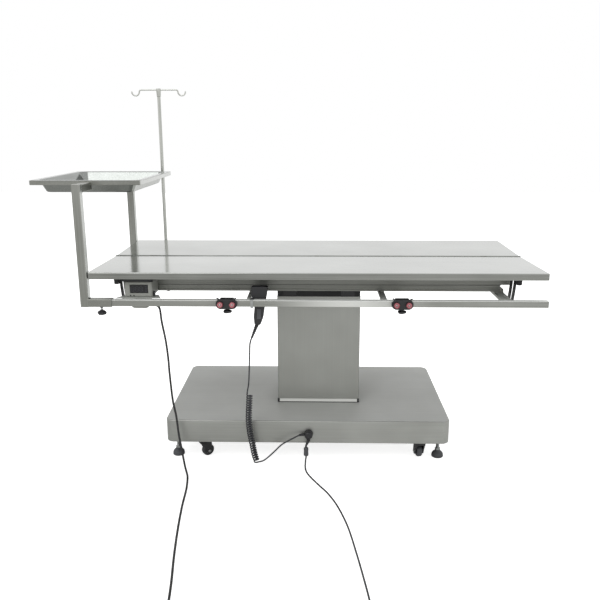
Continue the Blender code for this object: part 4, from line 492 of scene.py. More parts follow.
# Rubber: seal, mats and buffers in black, wheels, feet and small parts in grey
BLACK_RUBBER = moulded("black_rubber", "#141415", "#222223", 0.72, 600.0)
GREY_RUBBER = moulded("grey_rubber", "#3C3D3E", "#55565A", 0.62, 600.0)
# Red moulded cams, and pale rings on them: a painted highlight on the cams' top faces
RED_CAM = moulded("red_cam_plastic", "#7E333B", "#A04F57", 0.42, 700.0, 4e-5)
PAINTED_HIGHLIGHT_RING = moulded("painted_cam_highlight", "#B0686F", "#C3858A", 0.45, 700.0, 4e-5)
# Control box, grey ABS with an eggshell grain
BOX_ABS = moulded("grey_box_abs", "#8E8F89", "#A3A49E", 0.46, 700.0)
# Cord sheaths, flexible PVC
BLACK_PVC = moulded("black_pvc_sheath", "#101011", "#1C1C1E", 0.44)
GREY_PVC = moulded("dark_grey_pvc_sheath", "#242527", "#38393C", 0.45)
# The curly cord's polyurethane, glossier, so that each curl catches the light
CURL_PVC = moulded("glossy_curl_sheath", "#26272A", "#3A3B3F", 0.30)
# Woven nylon of the strap round each coil: black threads a millimetre apart
STRAP_NYLON = moulded("woven_strap_nylon", "#19191B", "#2E2E31", 0.80, 1000.0, 2e-4)
# Display window of dark smoked acrylic, and its unlit digits
SMOKED_ACRYLIC = moulded("smoked_acrylic", "#060608", "#0B0B0F", 0.26, 200.0, 0.0)
DIGIT_GREY = moulded("unlit_digits", "#33333C", "#41414B", 0.40, 200.0, 0.0)

# ---------------------------------------------------------------- cords

HEATER_ROUTE = mm(
    (-493.9, -232, 517), (-488.8, -232.2, 513.7), (-484.7, -232.6, 509.2), (-481.7, -233.3, 503.9),
    (-480.1, -234.2, 498), (-478.8, -235.7, 488), (-475.5, -240, 462), (-464, -250, 405),
    (-457, -259, 350), (-454, -265, 306), (-446, -275, 221), (-436, -282, 169), (-429, -290, 111),
    (-421, -298, 69), (-414.5, -304, 32), (-408.5, -314, 11), (-402, -330, 4.2), (-393, -362, 3.6),
    (-385, -419, 3.6), (-382, -457, 3.6), (-378, -530, 3.6), (-368, -640, 3.6), (-354, -760, 3.6),
    (-340, -860, 3.6), (-332, -930, 3.6), (-330, -965, 3.6))
LIFT_ROUTE = mm(
    (-31.5, -273.5, 29.7), (-32.5, -275, 24), (-33.5, -280, 13), (-34, -292, 5.6),
    (-31.5, -310, 2.9), (-26, -330, 2.8), (-14, -357, 2.8), (11, -404, 2.8), (36, -450, 2.8),
    (62, -520, 2.8), (86, -620, 2.8), (103, -740, 2.8), (116, -850, 2.8), (123, -920, 2.8),
    (125, -965, 2.8))
CURL_ROUTE = mm(
    (-205, -287, 245), (-207, -287, 211), (-209, -287, 164), (-206, -287, 121), (-199, -287, 80),
    (-193, -287, 45), (-186.5, -287, 21))
DROP_ROUTE = mm(
    (-200.6, -267.6, 410.5), (-203, -268.2, 398), (-204.4, -271, 360), (-206.2, -275, 310),
    (-208.5, -277.5, 275))
LEAD_ROUTE = mm(
    (-169, -290.5, 23.5), (-159, -289, 29), (-147, -288, 39), (-129, -288, 57), (-107, -287, 79),
    (-82, -284, 93), (-66, -279, 100), (-54, -272, 103.2))


def coil_path(entry, layers, total, diameter):
    """A pile of loops: the reach from the middle falls or grows by a steady pitch a turn, layer
    by layer, with a climb of half a turn between layers."""
    pitch, rise = diameter * 1.26, diameter * 1.13
    flat = (total - (layers - 1) * 0.5) / layers
    outside = diameter * 11.5 / 2 + pitch * flat / 2
    turns = np.arange(total * COIL_STEPS + 1) / COIL_STEPS
    layer = np.minimum((turns / (flat + 0.5)).astype(int), layers - 1)
    within = turns - layer * (flat + 0.5)
    wound = np.minimum(within, flat)
    depth = np.where(layer % 2 == 0, wound, flat - wound)
    climb = np.where(layer < layers - 1, np.maximum(within - flat, 0) / 0.5, 0)
    loops = (entry[0] + outside, COIL_Y) + polar(outside - pitch * depth, math.pi + TAU * turns)
    return np.column_stack([loops, entry[2] + rise * (layer + climb)])


def plug_parts(at):
    """A round two-pin mains plug lying on the floor, pointing to -Y: ribbed grip, body and a
    face with a raised rim and two pins."""
    grip = [(4.2, 0), (6.2, 0), (6.6, 1.5)]
    for k in range(5):
        grip += [(6.6 + 1.4 * k, 3 + 3 * k), (7.6 + 1.4 * k, 4.5 + 3 * k)]
    grip += [(15.2, 19.5), (19, 21.5), (19, 36.5), (18.2, 38), (16, 38), (15.5, 37.2)]
    pin = lathe(0.001, 20, (2.4, 36), (2.4, 55), (1.2, 56.8))
    return [moved(lathe(0.001, 48, *grip), at, FRONT)] + [
        moved(pin, (at[0] + side * 0.0095, at[1], at[2]), FRONT) for side in SIDES]


def coil_tie(name, wound, diameter):
    """The strap that holds a coil, round its section on the side away from the entry: an outer and
    an inner rounded loop carried 9 mm along the turns, and the overlap of its end on top."""
    middle_x = (wound[:, 0].min() + wound[:, 0].max()) / 2
    near = wound[(np.abs(wound[:, 1] - COIL_Y) < 0.003) & (wound[:, 0] > middle_x)]
    low, high = near.min(axis=0) - diameter / 2, near.max(axis=0) + diameter / 2
    x = (low[0] + high[0]) / 2
    width = high[0] - low[0] + 0.0008
    inner = (width, high[2] - low[2] + 0.0005, (high[2] + low[2] + 0.0001) / 2)
    top = high[2] + 0.0013
    outer = (width + 0.0018, top - 0.00004, (top + 0.00004) / 2)
    loops = []
    for (w, h, z), y in ((inner, -0.0043), (outer, -0.0045), (outer, 0.0045), (inner, 0.0043)):
        loop = rounded_loop(w, h, diameter * 0.45)
        loops.append(np.stack([loop[:, 0] + x, np.full(len(loop), COIL_Y + y), loop[:, 1] + z], 1))
    end = moved(rounded_box((0.011, 0.0086, 0.0009), 0.002, 0.0, 0.0003), (x, COIL_Y, top + 0.0004))
    return piece(f"{name}_tie", [loft(loops, ring=True), end], STRAP_NYLON, "base")


def relief_boot(name, path, length, thick, thin, body, ribs=7):
    """A tapered strain relief round the first stretch of a cord: its radius falls evenly from
    thick to thin, with shallow ribs that stop before its end."""
    along = np.concatenate([[0], np.cumsum(np.linalg.norm(np.diff(path, axis=0), axis=1))])
    t = np.linspace(0, 1, 64)
    line = np.stack([np.interp(t * length, along, path[:, k]) for k in range(3)], 1)
    radius = thick + (thin - thick) * t - 0.0004 * (np.sin(TAU * ribs * t) > 0.3) * (t < 0.92)
    return piece(name, [pipe(line, radius, 20)], BLACK_ABS, body)


def follow_lift(cord):
    """The cord's place is baked into its mesh."""
    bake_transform(cord)


def mains_cord(name, points, route, diameter, layers, total, material, body):
    """A mains cord as one round sheath: its free stretch, its coil, its tie and its run to the
    plug."""
    entry = (route[-1][0], COIL_Y, route[-1][2])
    lead = (entry[0], COIL_Y + 0.0003 + 2 * diameter, entry[2])
    stretch = smooth_path([*points, *route, lead, (entry[0], COIL_Y + diameter, entry[2])],
                          diameter * 0.8)
    wound = coil_path(entry, layers, total, diameter)
    x, y, z = wound[-1]
    height = 0.0193
    tail = smooth_path([(x, y, z), (x, y - diameter, z), (x, y - 0.018, (z + height) / 2),
                        (x, y - 0.030, height), (x, y - 0.030 - 2 * diameter, height)], diameter)
    path = np.vstack([stretch, wound[1:], tail[1:]])
    plug = piece(f"{name}_plug_moulding", plug_parts(path[-1] - (0, 0.0003, 0)), BLACK_ABS, "base",
                 [f"{name}_plug"])
    sheath = piece(f"{name}_sheath", [pipe(path, diameter / 2, 14)], material, body,
                   [f"{name}_cord", f"{name}_cord_coil"], level=False)
    return sheath, [plug, coil_tie(name, wound, diameter)], path


def make_heater_cord():
    """The heating mats' mains cord: black, leaving the control box through a tapered boot."""
    start = (-0.535 + 0.029 + 0.0063, -0.2320, 0.5190)
    sheath, others, path = mains_cord("heater", [start], HEATER_ROUTE, 0.0065, 2, 5, BLACK_PVC,
                                      None)
    follow_lift(sheath)
    boot = relief_boot("heater_cord_boot", np.vstack([start - np.array((0.0064, 0, -0.001)), path]),
                       0.024, 0.0060, 0.0040, "lift")


def make_lift_cord():
    """The lift's mains cord: a short sleeved lead, an inline joint and a thin grey sheath."""
    start = (GLAND[0], -0.2668, GLAND[2] - 0.0140)
    x, y = -0.0315, -0.2735
    points = [start, (start[0], start[1], start[2] - 0.0065), (x, y, 0.0695), (x, y, 0.0630),
              (x, y, 0.0490), (x, y, 0.0350)]
    sheath, others, path = mains_cord("lift", points, LIFT_ROUTE, 0.0050, 4, 8, GREY_PVC, "base")
    lead_path = smooth_path(points[:4], 0.002)
    lead = piece("lift_cord_lead", [pipe(lead_path, 0.00325)], BLACK_PVC, "base")
    half = [(7.1, 4.6), (7.5, 5), (7.5, 12.2), (5.2, 14), (3, 14.2)]
    joint = lathe(0.0006, 36, *[(r, -z) for r, z in half[::-1]], *half)
    body = piece("lift_cord_joint", [moved(joint, (x, y, 0.0490))], GREY_RUBBER, "base",
                 ["lift_cord_connector"])
    boot = relief_boot("lift_cord_boot", lead_path, 0.0215, 0.0056, 0.0037, "base", 6)


def make_handset_cord():
    """The hand control's curly cord: a straight drop, a helix of 28 curls and a lead to the
    gland. The helix is its spine plus a circle carried round it, and the drop turns into it
    along a cubic whose ends follow both directions."""
    wire, reach, curls = 0.0046, 0.0080, 28.25
    relief = np.array((-0.1970, HANDSET_Y, 0.4210))
    away = relief - np.array((-0.1790, HANDSET_Y, 0.466))
    away /= np.linalg.norm(away)
    start = relief + away * 0.0003
    spine = smooth_path(CURL_ROUTE, 0.002)
    share = np.linspace(0, 1, 28 * 22 + 1)
    place = np.stack([np.interp(share, np.linspace(0, 1, len(spine)), spine[:, k])
                      for k in range(3)], 1)
    forward = np.gradient(place, axis=0)
    forward /= np.linalg.norm(forward, axis=1)[:, None]
    across = np.array((0.0, -1.0, 0.0))
    side = np.cross(forward, across)
    angle = TAU * curls * share[:, None]
    helix = place + reach * (np.cos(angle) * side + np.sin(angle) * across)
    above = helix[0] - reach * across - reach * forward[0]
    straight = smooth_path([start, start + away * wire, *DROP_ROUTE, above], 0.004)
    t = np.linspace(0, 1, 12)[1:-1, None]
    pull = 1.6 * reach
    bend = ((2 * t ** 3 - 3 * t ** 2 + 1) * above + (t ** 3 - 2 * t ** 2 + t) * pull * forward[0]
            + (3 * t ** 2 - 2 * t ** 3) * helix[0] + (t ** 3 - t ** 2) * pull * across)
    gland_x = GLAND[0] - 0.0140
    lead = smooth_path([helix[-1], helix[-1] - side[-1] * 0.007, *LEAD_ROUTE,
                        (gland_x - wire, -0.2668, GLAND[2]), (gland_x, -0.2668, GLAND[2])], 0.003)
    path = np.vstack([straight, bend, helix, lead[1:]])
    cord = piece("handset_curly_cord", [pipe(path, wire / 2, 10)], CURL_PVC, None,
                 ["handset_cord"], level=False)
    follow_lift(cord)
    boot = relief_boot("handset_cord_boot", path[::-1], 0.016, 0.0050, 0.0032, "base", 5)


# ---------------------------------------------------------------- top and rails


def leaf_outline(inset, z):
    """The open outline of one leaf, from the fold round its outer side: round outer corners."""
    half, near, far, radius = 0.675 - inset, -0.0034, -0.300 + inset, max(0.004 - inset, 0.0005)
    corners = [arc((side * (half - radius), far + radius), radius, start, start + QUARTER, 6)
               for side, start in ((-1, math.pi), (1, 1.5 * math.pi))]
    return at_height(np.vstack([(-half, near), *corners, (half, near)]), z)


def on_leaf(part, quarter):
    """From a leaf's own frame at the hinge pin to the table: its slope, then a half turn for the
    rear leaf."""
    turn = Matrix.Rotation(quarter, 3, 'Z') @ Matrix.Rotation(-LEAF_SLOPE, 3, 'X')
    points, faces = part
    return points @ np.array(turn).T + np.array((0, 0, PIN_Z)), faces


def make_top():
    """Two folded sheets with skirts and turned-in hems, and the hinge's knuckles between them."""
    lug, half_lug, play = 0.5525, 0.010, 0.0003
    barrel = (0.675, lug + half_lug, lug - half_lug, half_lug)
    runs = ((-barrel[0], -barrel[1], 1), (-barrel[2], -barrel[3], 2), (barrel[3], barrel[2], 2),
            (barrel[1], barrel[0], 1))
    spans = [(start + (end - start) / count * i, start + (end - start) / count * (i + 1))
             for start, end, count in runs for i in range(count)]
    levels = quarter_round(0.003, 0.001, -1, 4)
    levels += [(0, -0.0185), (0.0005, -0.0196), (0.0015, -0.0200), (0.010, -0.0200)]
    skin, faces = folded([leaf_outline(inset, z) for inset, z in levels], closed=False)
    across = len(skin) // len(levels) - 1
    # Faces below the top's rounding, the skirt, take the finish painted darker as painted shade
    bands = [int(k // across > 2) for k in range(len(faces) - 1)] + [0]
    for name, first, quarter in (("front", 0, 0.0), ("rear", 1, math.pi)):
        piece(f"top_{name}_sheet", [on_leaf((skin, faces), quarter)], [TOP_SHEET, PAINTED_SHADE_SKIRT],
              f"{name}_leaf", [f"top_{name}"], turn_out=False, sheet=0.0015,
              bands=bands)
        knuckles = []
        for span in spans[first::2]:
            x0, x1 = sorted(math.cos(quarter) * end for end in span)
            line = rounded([(0.0018, x0 + play), (0.003, x0 + play), (0.003, x1 - play),
                            (0.0018, x1 - play)], 0.0004)
            knuckles.append(moved(turned(line, 20), (0, 0, 0), RIGHT))
            tab = rounded_box((x1 - x0 - 2 * play, 0.004, 0.0013), 0.0002)
            knuckles.append(moved(tab, (0.5 * (x0 + x1), -0.0033, 0.00025)))
        piece(f"hinge_knuckles_{name}", [on_leaf(part, quarter) for part in knuckles], HINGE_STEEL,
              f"{name}_leaf", ())


def make_rails():
    """Square stainless tube along both sides, a dark strip painted as the shadow line between the
    frame's two layers, the lips under its long sides, and the bars painted lighter as painted light
    and the dark plate that show below it."""
    # A dark strip painted as the shadow line between the frame's two layers
    shadow_line_levels = [(0, 0.5694), (0.0003, 0.5696), (0.0003, 0.5704), (0, 0.5706), (-0.004, 0.5706),
            (-0.004, 0.5694)]
    line = loft([rounded_loop(1.130 + 2 * i, 0.380 + 2 * i, 0.0012, z, 2) for i, z in shadow_line_levels],
                ring=True)
    piece("frame_shadow_line", [line], BLACK_RUBBER, "lift", ())
    lips = [bar((-0.565, s * 0.1885, 0.5528), (0.565, s * 0.1885, 0.5528), 0.003, 0.0056, 0.0004,
                0.0003, BACK) for s in SIDES]
    piece("frame_lips", lips, FRAME_BAR, "lift", ())
    # The struts take the bar painted lighter, as painted light
    struts = [bar((x, s * 0.150, 0.5432), (x, s * 0.2798, 0.5432), wide, 0.0082, 0.0006, 0.0003,
                  RIGHT) for x, wide in ((-0.560, 0.0306), (-0.2035, 0.0106), (0.2000, 0.0176),
                                         (0.560, 0.0306)) for s in SIDES]
    piece("frame_struts", struts, PAINTED_LIT_BAR, "lift", ())
    dark = [moved(rounded_box(size, 0.0005, 0.0002, 0.0002), (COLUMN[0] + x, y, z))
            for size, x, y, z in (((0.264, 0.0015, 0.0271), 0, -0.10075, 0.54175),
                                  ((0.0406, 0.0861, 0.0208), -0.090, -0.14425, 0.5449),
                                  ((0.0406, 0.0861, 0.0208), 0.090, -0.14425, 0.5449))]
    piece("column_head_plate", dark, BLACK_NYLON, "lift")
    for name, side in (("front", -1), ("rear", 1)):
        y = side * RAIL_Y
        tube = bar((-0.679, y, RAIL_Z), (0.679, y, RAIL_Z), 0.020, 0.020, 0.0025, 0.0004, BACK)
        rail = piece(f"{name}_rail_tube", [tube], [RAIL_TUBE, PAINTED_LIT_RAIL_TOP], "lift", [f"{name}_rail"])
        # The upward faces take the top painted lighter, as painted light
        finish_facing(rail, UP, 1, 0.3)


# ---------------------------------------------------------------- column and base


def make_column():
    """Three nested stainless sleeves with their glide rings, the rubber seal and foot trim."""
    x = COLUMN[0]
    bridge = moved(rounded_box((0.252, 0.040, 0.008), 0.001), (x, 0, 0.503))
    sleeves = (
        ("outer_sleeve", "lift", [walled(0.270, 0.204, 0.002, 0.1585, 0.511)]),
        ("middle_sleeve", "middle_sleeve",
         [walled(0.254, 0.188, 0.002, 0.1585, 0.508), walled(0.265, 0.199, 0.0056, 0.478, 0.5075),
          bridge, moved(washer(0.0145, 0.018, 0.160, 0.503), COLUMN)]),
        ("inner_column", "base",
         [walled(0.238, 0.172, 0.002, 0.1441, 0.495), walled(0.249, 0.183, 0.0056, 0.465, 0.4945)]))
    for name, body, parts in sleeves:
        piece(f"{name}_skin", parts, SLEEVE_SHEET, body, [name])
    piece("sleeve_seal_skin", [walled(0.268, 0.202, 0.006, 0.5113, 0.528)], BLACK_RUBBER, "lift",
          ["sleeve_seal"])
    slope = mm((0.1, 145.9), (0.1, 147.5), (1, 149), (2.8, 157.5), (3.4, 158), (15, 158),
               (15, 145.9))
    trim = moved(stacked((0.272, 0.206), 0.004, slope, 5, 0.0008, ring=True), COLUMN)
    piece("column_foot_strip", [trim], FOOT_STRIP, "base", ["column_foot_trim"])
    # A thin black ring painted as the shadow in the gap at the strip's foot
    piece("column_foot_shadow_ring", [walled(0.2728, 0.2068, 0.0012, 0.1458, 0.1480, 0.0003)],
          BLACK_RUBBER, "base", ())
    corners = [moved(rounded_box((0.0070, 0.0070, 0.0128), 0.0025, 0.0005, 0.001),
                     (x + sx * 0.1330, sy * 0.1000, 0.1523)) for sx in SIDES for sy in SIDES]
    piece("column_foot_corners", corners, BLACK_ABS, "base")


def make_base():
    """The folded cover: round corners, a rolled top edge and a hem turned in at the foot."""
    levels = quarter_round(0.004, 0.1456, -1, 5)
    levels += [(0, 0.0725), (0.0005, 0.0713), (0.0016, 0.0709), (0.010, 0.0709)]
    loops = [rounded_loop(0.898 - 2 * i, 0.515 - 2 * i, 0.025 - i, z, 10) for i, z in levels]
    cover = piece("base_cover_sheet", [moved(folded(loops), (-0.028, 0, 0))],
                  [BASE_SHEET, PAINTED_LIT_DECK], "base", ["base_cover"], turn_out=False,
                  sheet=0.0015)
    # The cover's upward faces take the deck painted lighter, as painted light
    finish_facing(cover, UP, 1, 0.9)


def make_feet():
    """Levelling feet: a bell-shaped pad and a threaded zinc stem with a nut at its foot."""
    bell = lathe(0.0012, 40, (17.6, 0), (19, 1.2), (19, 5.2), (18.1, 6), (18.1, 6.8), (18.7, 7.6),
                 (18, 11.5), (15, 15.8), (10.8, 19), (8.8, 21.5), (8.6, 24), (6, 24.4))
    stem = [(5.2, 20), (5.2, 30)]
    for k in range(30):
        stem += [(5.5, 30.5 + 1.5 * k), (5, 31.25 + 1.5 * k)]
    stem = turned(mm(*stem, (5.5, 127), (4.5, 128)), 20)
    nut = plate(polar(0.015 / math.sqrt(3), circle(6)), 0.006)
    for row, r in (("front", -1), ("rear", 1)):
        for end, e in (("left", -1), ("right", 1)):
            name, x, y = f"foot_{row}_{end}", -0.028 + e * 0.423, r * 0.1975
            piece(f"foot_pad_{row}_{end}", [moved(bell, (x, y, 0))], GREY_RUBBER, name,
                  [f"levelling_{name}"])
            parts = [moved(stem, (x, y, 0)), moved(nut, (x, y, 0.0272))]
            piece(f"foot_stem_{row}_{end}", parts, ZINC, name, ())


def make_casters():
    """Twin-ear fork housings under a zinc bearing, each with a ribbed wheel on its axle."""
    side = np.vstack([mm((17, 62.5), (-17, 62.5), (-17, 57.5)),
                      arc((0.012, 0.0205), 0.011, math.radians(171), math.radians(378), 14),
                      mm((19.75, 57.5))])
    ear = plate(rounded(side, 0.0025, 3, True), 0.0048, 0.0008)
    crown = rounded_box((0.030, 0.034, 0.014), 0.004, 0.001, 0.002)
    bearing = lathe(0.0008, 32, (12, 60), (15, 61.5), (15, 69), (13.5, 69.7))
    cap = lathe(0.0008, 20, (5.2, 0), (5.2, 1.2), (3.6, 2.6))
    half = [(3.6, -8.8), (8, -9), (8.5, -7.2), (14, -7.2), (14.5, -9), (16.5, -8.8), (19.5, -5.5)]
    tread = lathe(0.0012, 44, *half, *[(r, -z) for r, z in half[::-1]])
    casters = (("front_left", -0.364, -0.2105, -58), ("front_right", 0.335, -0.2105, 8),
               ("rear_left", -0.364, 0.2105, 20), ("rear_right", 0.335, 0.2105, -15))
    for name, x, y, yaw in casters:
        yaw = math.radians(yaw)
        back = np.array((-math.sin(yaw), math.cos(yaw), 0))
        axle = np.array((math.cos(yaw), math.sin(yaw), 0))
        hub = np.array((x, y, 0.0205)) + 0.012 * back
        ears = [moved(ear, np.array((x, y, 0)) + axle * s * 0.0126, axle, back) for s in SIDES]
        caps = [moved(cap, hub + axle * s * 0.0150, axle * s) for s in SIDES]
        piece(f"caster_housing_{name}", ears + [moved(crown, (x, y, 0.0560), UP, axle)], BLACK_ABS,
              f"fork_{name}", [f"caster_fork_{name}"])
        piece(f"caster_bearing_{name}", [moved(bearing, (x, y, 0))] + caps, ZINC, f"fork_{name}",
              ())
        piece(f"caster_tread_{name}", [moved(tread, hub, axle)], GREY_RUBBER, f"wheel_{name}",
              [f"caster_wheel_{name}"])


def make_gland():
    """A dark cord gland: a domed cap with grip ribs round it."""
    x, y, z = GLAND
    cap = lathe(0.0012, 44, (13.8, 0), (14, 1), (14, 3), (13.2, 4), (12.8, 16), (11.5, 20),
                (7.5, 22), (7, 20.5))
    rib = bar((0, 0, 0), (0, 0, 0.011), 0.0016, 0.0016, 0.0005, 0.0004)
    ribs = [moved(rib, (x + dx, y - 0.0045, z + dz), FRONT) for dx, dz in polar(0.0129, circle(14))]
    piece("gland_cap", [moved(cap, GLAND, FRONT)] + ribs, BLACK_ABS, "base", ["cable_gland"])


def make_tilt_guides():
    """Black curved guides centred on the fold, slotted for the frame's tongues, with a rubber
    buffer beside each."""
    inner, outer = 0.217, 0.239
    half = 0.0033 / inner
    start, end = (math.radians(a) + LEAF_SLOPE + s * half for a, s in ((6, -1), (26.5, 1)))
    first, last = math.radians(0.5), end + math.radians(2)

    def blade(draw, low, high, steps, thickness, edge, x):
        """A stretch of the guide between two angles, drawn in and seen along X."""
        rims = [arc((0, 0), -(outer - draw), low, high, steps),
                arc((0, 0), -(inner + draw), high, low, steps)]
        return moved(plate(np.vstack(rims), thickness, edge), (x, 0, 0), RIGHT, BACK)

    foot = rounded_box((0.036, 0.064, 0.003), 0.004, 0.0006, 0.0006)
    buffer = lathe(0.001, 28, (6.4, -40.8), (8.2, -40), (9, -20), (9.8, -6), (10, -3.8))
    for row, quarter in (("front", 0.0), ("rear", math.pi)):
        for side_name, side in (("left", -1), ("right", 1)):
            s = side * math.cos(quarter)
            x = s * 0.592
            guide = [blade(0, first, last, 16, 0.0028, 0.0006, x + dx) for dx in (-0.0056, 0.0056)]
            guide += [blade(0.0005, low, high, 4, 0.009, 0.0003, x)
                      for low, high in ((first, start), (end, last))]
            guide.append(moved(foot, (x + s * 0.0035, -0.2435, -0.0023)))
            piece(f"tilt_guide_{row}_{side_name}", [on_leaf(part, quarter) for part in guide],
                  BLACK_NYLON, f"{row}_leaf", [f"tilt_arc_{row}_{side_name}"])
            piece(f"tilt_buffer_{row}_{side_name}",
                  [on_leaf(moved(buffer, (x + s * 0.007, -0.262, 0)), quarter)], BLACK_RUBBER,
                  f"{row}_leaf")


# ---------------------------------------------------------------- tray, stand, pole


def make_stand():
    """Square stainless tube: two posts, their arms, the sleeves on the rails and the tray ring."""
    x, tube, arm_z = -0.689, 0.025, 0.8725
    posts, arms = [], []
    for s in SIDES:
        y, arm, sleeve = s * RAIL_Y, tube - 0.0008, tube - 0.0006
        posts.append(bar((x, y, 0.5245), (x, y, 0.8855), tube, tube))
        arms.append(bar((x, s * (RAIL_Y + 0.0120), arm_z), (x, TRAY[1] + s * 0.2125, arm_z), arm,
                        arm, 0.003, 0.0006, UP))
        arms.append(bar((x - 0.0122, y, RAIL_Z), (-0.608, y, RAIL_Z), sleeve, sleeve, 0.003,
                        0.0010, BACK))
    ring = mm((0, 876.3), (0, 888.2), (0.8, 889), (14.2, 889), (15, 888.2), (15, 876.3),
              (14.2, 875.5), (0.8, 875.5))
    upright = piece("tray_stand_posts", posts, [POST_TUBE, PAINTED_LIT_SIDE], "tray_stand",
                    ["tray_stand"])
    piece("tray_stand_arms", arms, ARM_TUBE, "tray_stand", ())
    rim = piece("tray_ring", [moved(stacked((0.338, 0.440), 0.006, ring, 5, 0.002, ring=True),
                                    TRAY)], [ARM_TUBE, PAINTED_LIT_SIDE], "tray_stand", ())
    # Faces that look to the right take the side painted lighter, as painted light
    for item in (upright, rim):
        finish_facing(item, RIGHT, 1)


def make_tray():
    """A pressed tray: flange, filleted walls that draw in, and a flat floor."""
    levels = mm((338, 440, 35, 889.3), (306, 408, 29, 889.3), (303, 405, 27.8, 888.5),
                (301, 403, 27.2, 886.6), (270, 372, 16, 856.2), (267, 369, 15.2, 854),
                (262, 364, 14.3, 852.5), (254, 356, 13, 852))
    skin, faces = loft([rounded_loop(*level, 10) for level in levels], False)
    faces.append(list(range(len(skin) - len(skin) // len(levels), len(skin))))
    tray = piece("pressed_tray", [moved((skin, faces), TRAY)],
                 [TRAY_SHEET, TRAY_OUTSIDE, TRAY_SHEET, PAINTED_LIT_SIDE], "tray", ["instrument_tray"],
                 turn_out=False, sheet=0.001)
    # Outside the right wall, the sheet's copies take the side painted lighter as painted light
    finish_facing(tray, (-1, 0, 0), 2)
    tray.modifiers["sheet"].material_offset = 1


def make_knob(name, body, node_name, at, along, radius, lobes, thick, drop, neck, tip, top):
    """A screw, its collar and a lobed grip whose lobes soften towards the bottom and, by the
    share given as top, towards the top."""
    screw = turned(rounded([(0.0028, -drop), (0.0030, -0.0048), (0.0040, -0.0042),
                            (0.0060, -0.0008), (0.0055, -0.0003), (0.0030, -0.0003),
                            (0.0030, tip - 0.0004), (0.0026, tip)], 0.0004), 24)
    levels = ((0.72, -thick), (0.86, -thick + 0.0007), (0.97, -thick * 0.72), (1.0, -thick * 0.55),
              (0.97, -thick * 0.30), (top, -0.0006), (0.45, 0))
    outline = lobed(radius, lobes, 0.10, lobes * 14)
    grip = loft([at_height(outline * share, z - drop) for share, z in levels])
    collar = turned(rounded([(neck, -drop - 0.001), (neck, -drop + 0.0015),
                             (neck * 0.75, -drop + 0.0028)], 0.0006), 24)
    piece(f"{name}_screw", [moved(screw, at, along)], ZINC, body)
    piece(f"{name}_grip", [moved(part, at, along) for part in (grip, collar)], BLACK_ABS, body,
          [node_name])


def clamp(length, back, radius, edge, at, along, facing):
    """A clamp's profile round the rail, as a plate: 3.5 mm walls, a back and a 4 mm hook."""
    half = 0.0103
    wall, lip = -half - 0.0035, 0.004 - half
    outline = rounded([(wall, wall), (half + back, wall), (half + back, -wall), (-half, -wall),
                       (-half, half), (half, half), (half, -half), (-half, -half), (-half, lip),
                       (wall, lip)], radius, 2, True)
    return moved(plate(outline, length, edge), at, along, facing)


def make_pole():
    """The drip pole: a bright tube with a dark foot, its funnel, the bent hook wire and clamp."""
    x, y = POLE_X, POLE_Y
    rod = lathe(0.0006, 32, (5, 431.5), (6, 432.5), (6, 1152))
    funnel = lathe(0.0012, 32, (6.2, 1149), (7.2, 1150.5), (8.5, 1170), (8.5, 1176.5), (7, 1178))
    bar_z, low = 1.173, 1.153
    half = np.vstack([arc((0.063, bar_z - 0.007), 0.007, QUARTER, 0, 7),
                      arc((0.0835, low + 0.0135), -0.0135, 0, math.pi, 15), (0.097, 1.1688)])
    wire = even([(x - a, y, z) for a, z in half[::-1]] + [(x + a, y, z) for a, z in half], 0.002)
    radius = np.full(len(wire), 0.0025)
    radius[[0, -1]] = 0.0012
    parts = [moved(part, (x, y, 0)) for part in (rod, funnel)]
    piece("drip_pole_tube", parts + [pipe(wire, radius, 14)], POLE_TUBE, "drip_pole", ["iv_pole"])
    tip = lathe(0.0005, 28, (4.5, 430), (6, 431), (6, 432.2))
    piece("drip_pole_foot", [moved(tip, (x, y, 0))], BLACK_ABS, "drip_pole")
    piece("drip_clamp_block", [clamp(0.036, 0.0218, 0.0012, 0.0008, (x, RAIL_Y, RAIL_Z), RIGHT,
                                     BACK)], BLACK_ABS, "drip_clamp", ["iv_clamp"])
    make_knob("drip_knob", "drip_knob", "iv_knob", (x, 0.3221, RAIL_Z), FRONT, 0.0125, 6, 0.009,
              0.008, 0.0045, 0.006, 0.84)
    make_knob("stand_knob", "stand_knob", "stand_knob", (-0.642, -RAIL_Y, 0.5245), UP, 0.0138, 6,
              0.0125, 0.0125, 0.0055, 0.0022, 0.62)


# ---------------------------------------------------------------- cleats


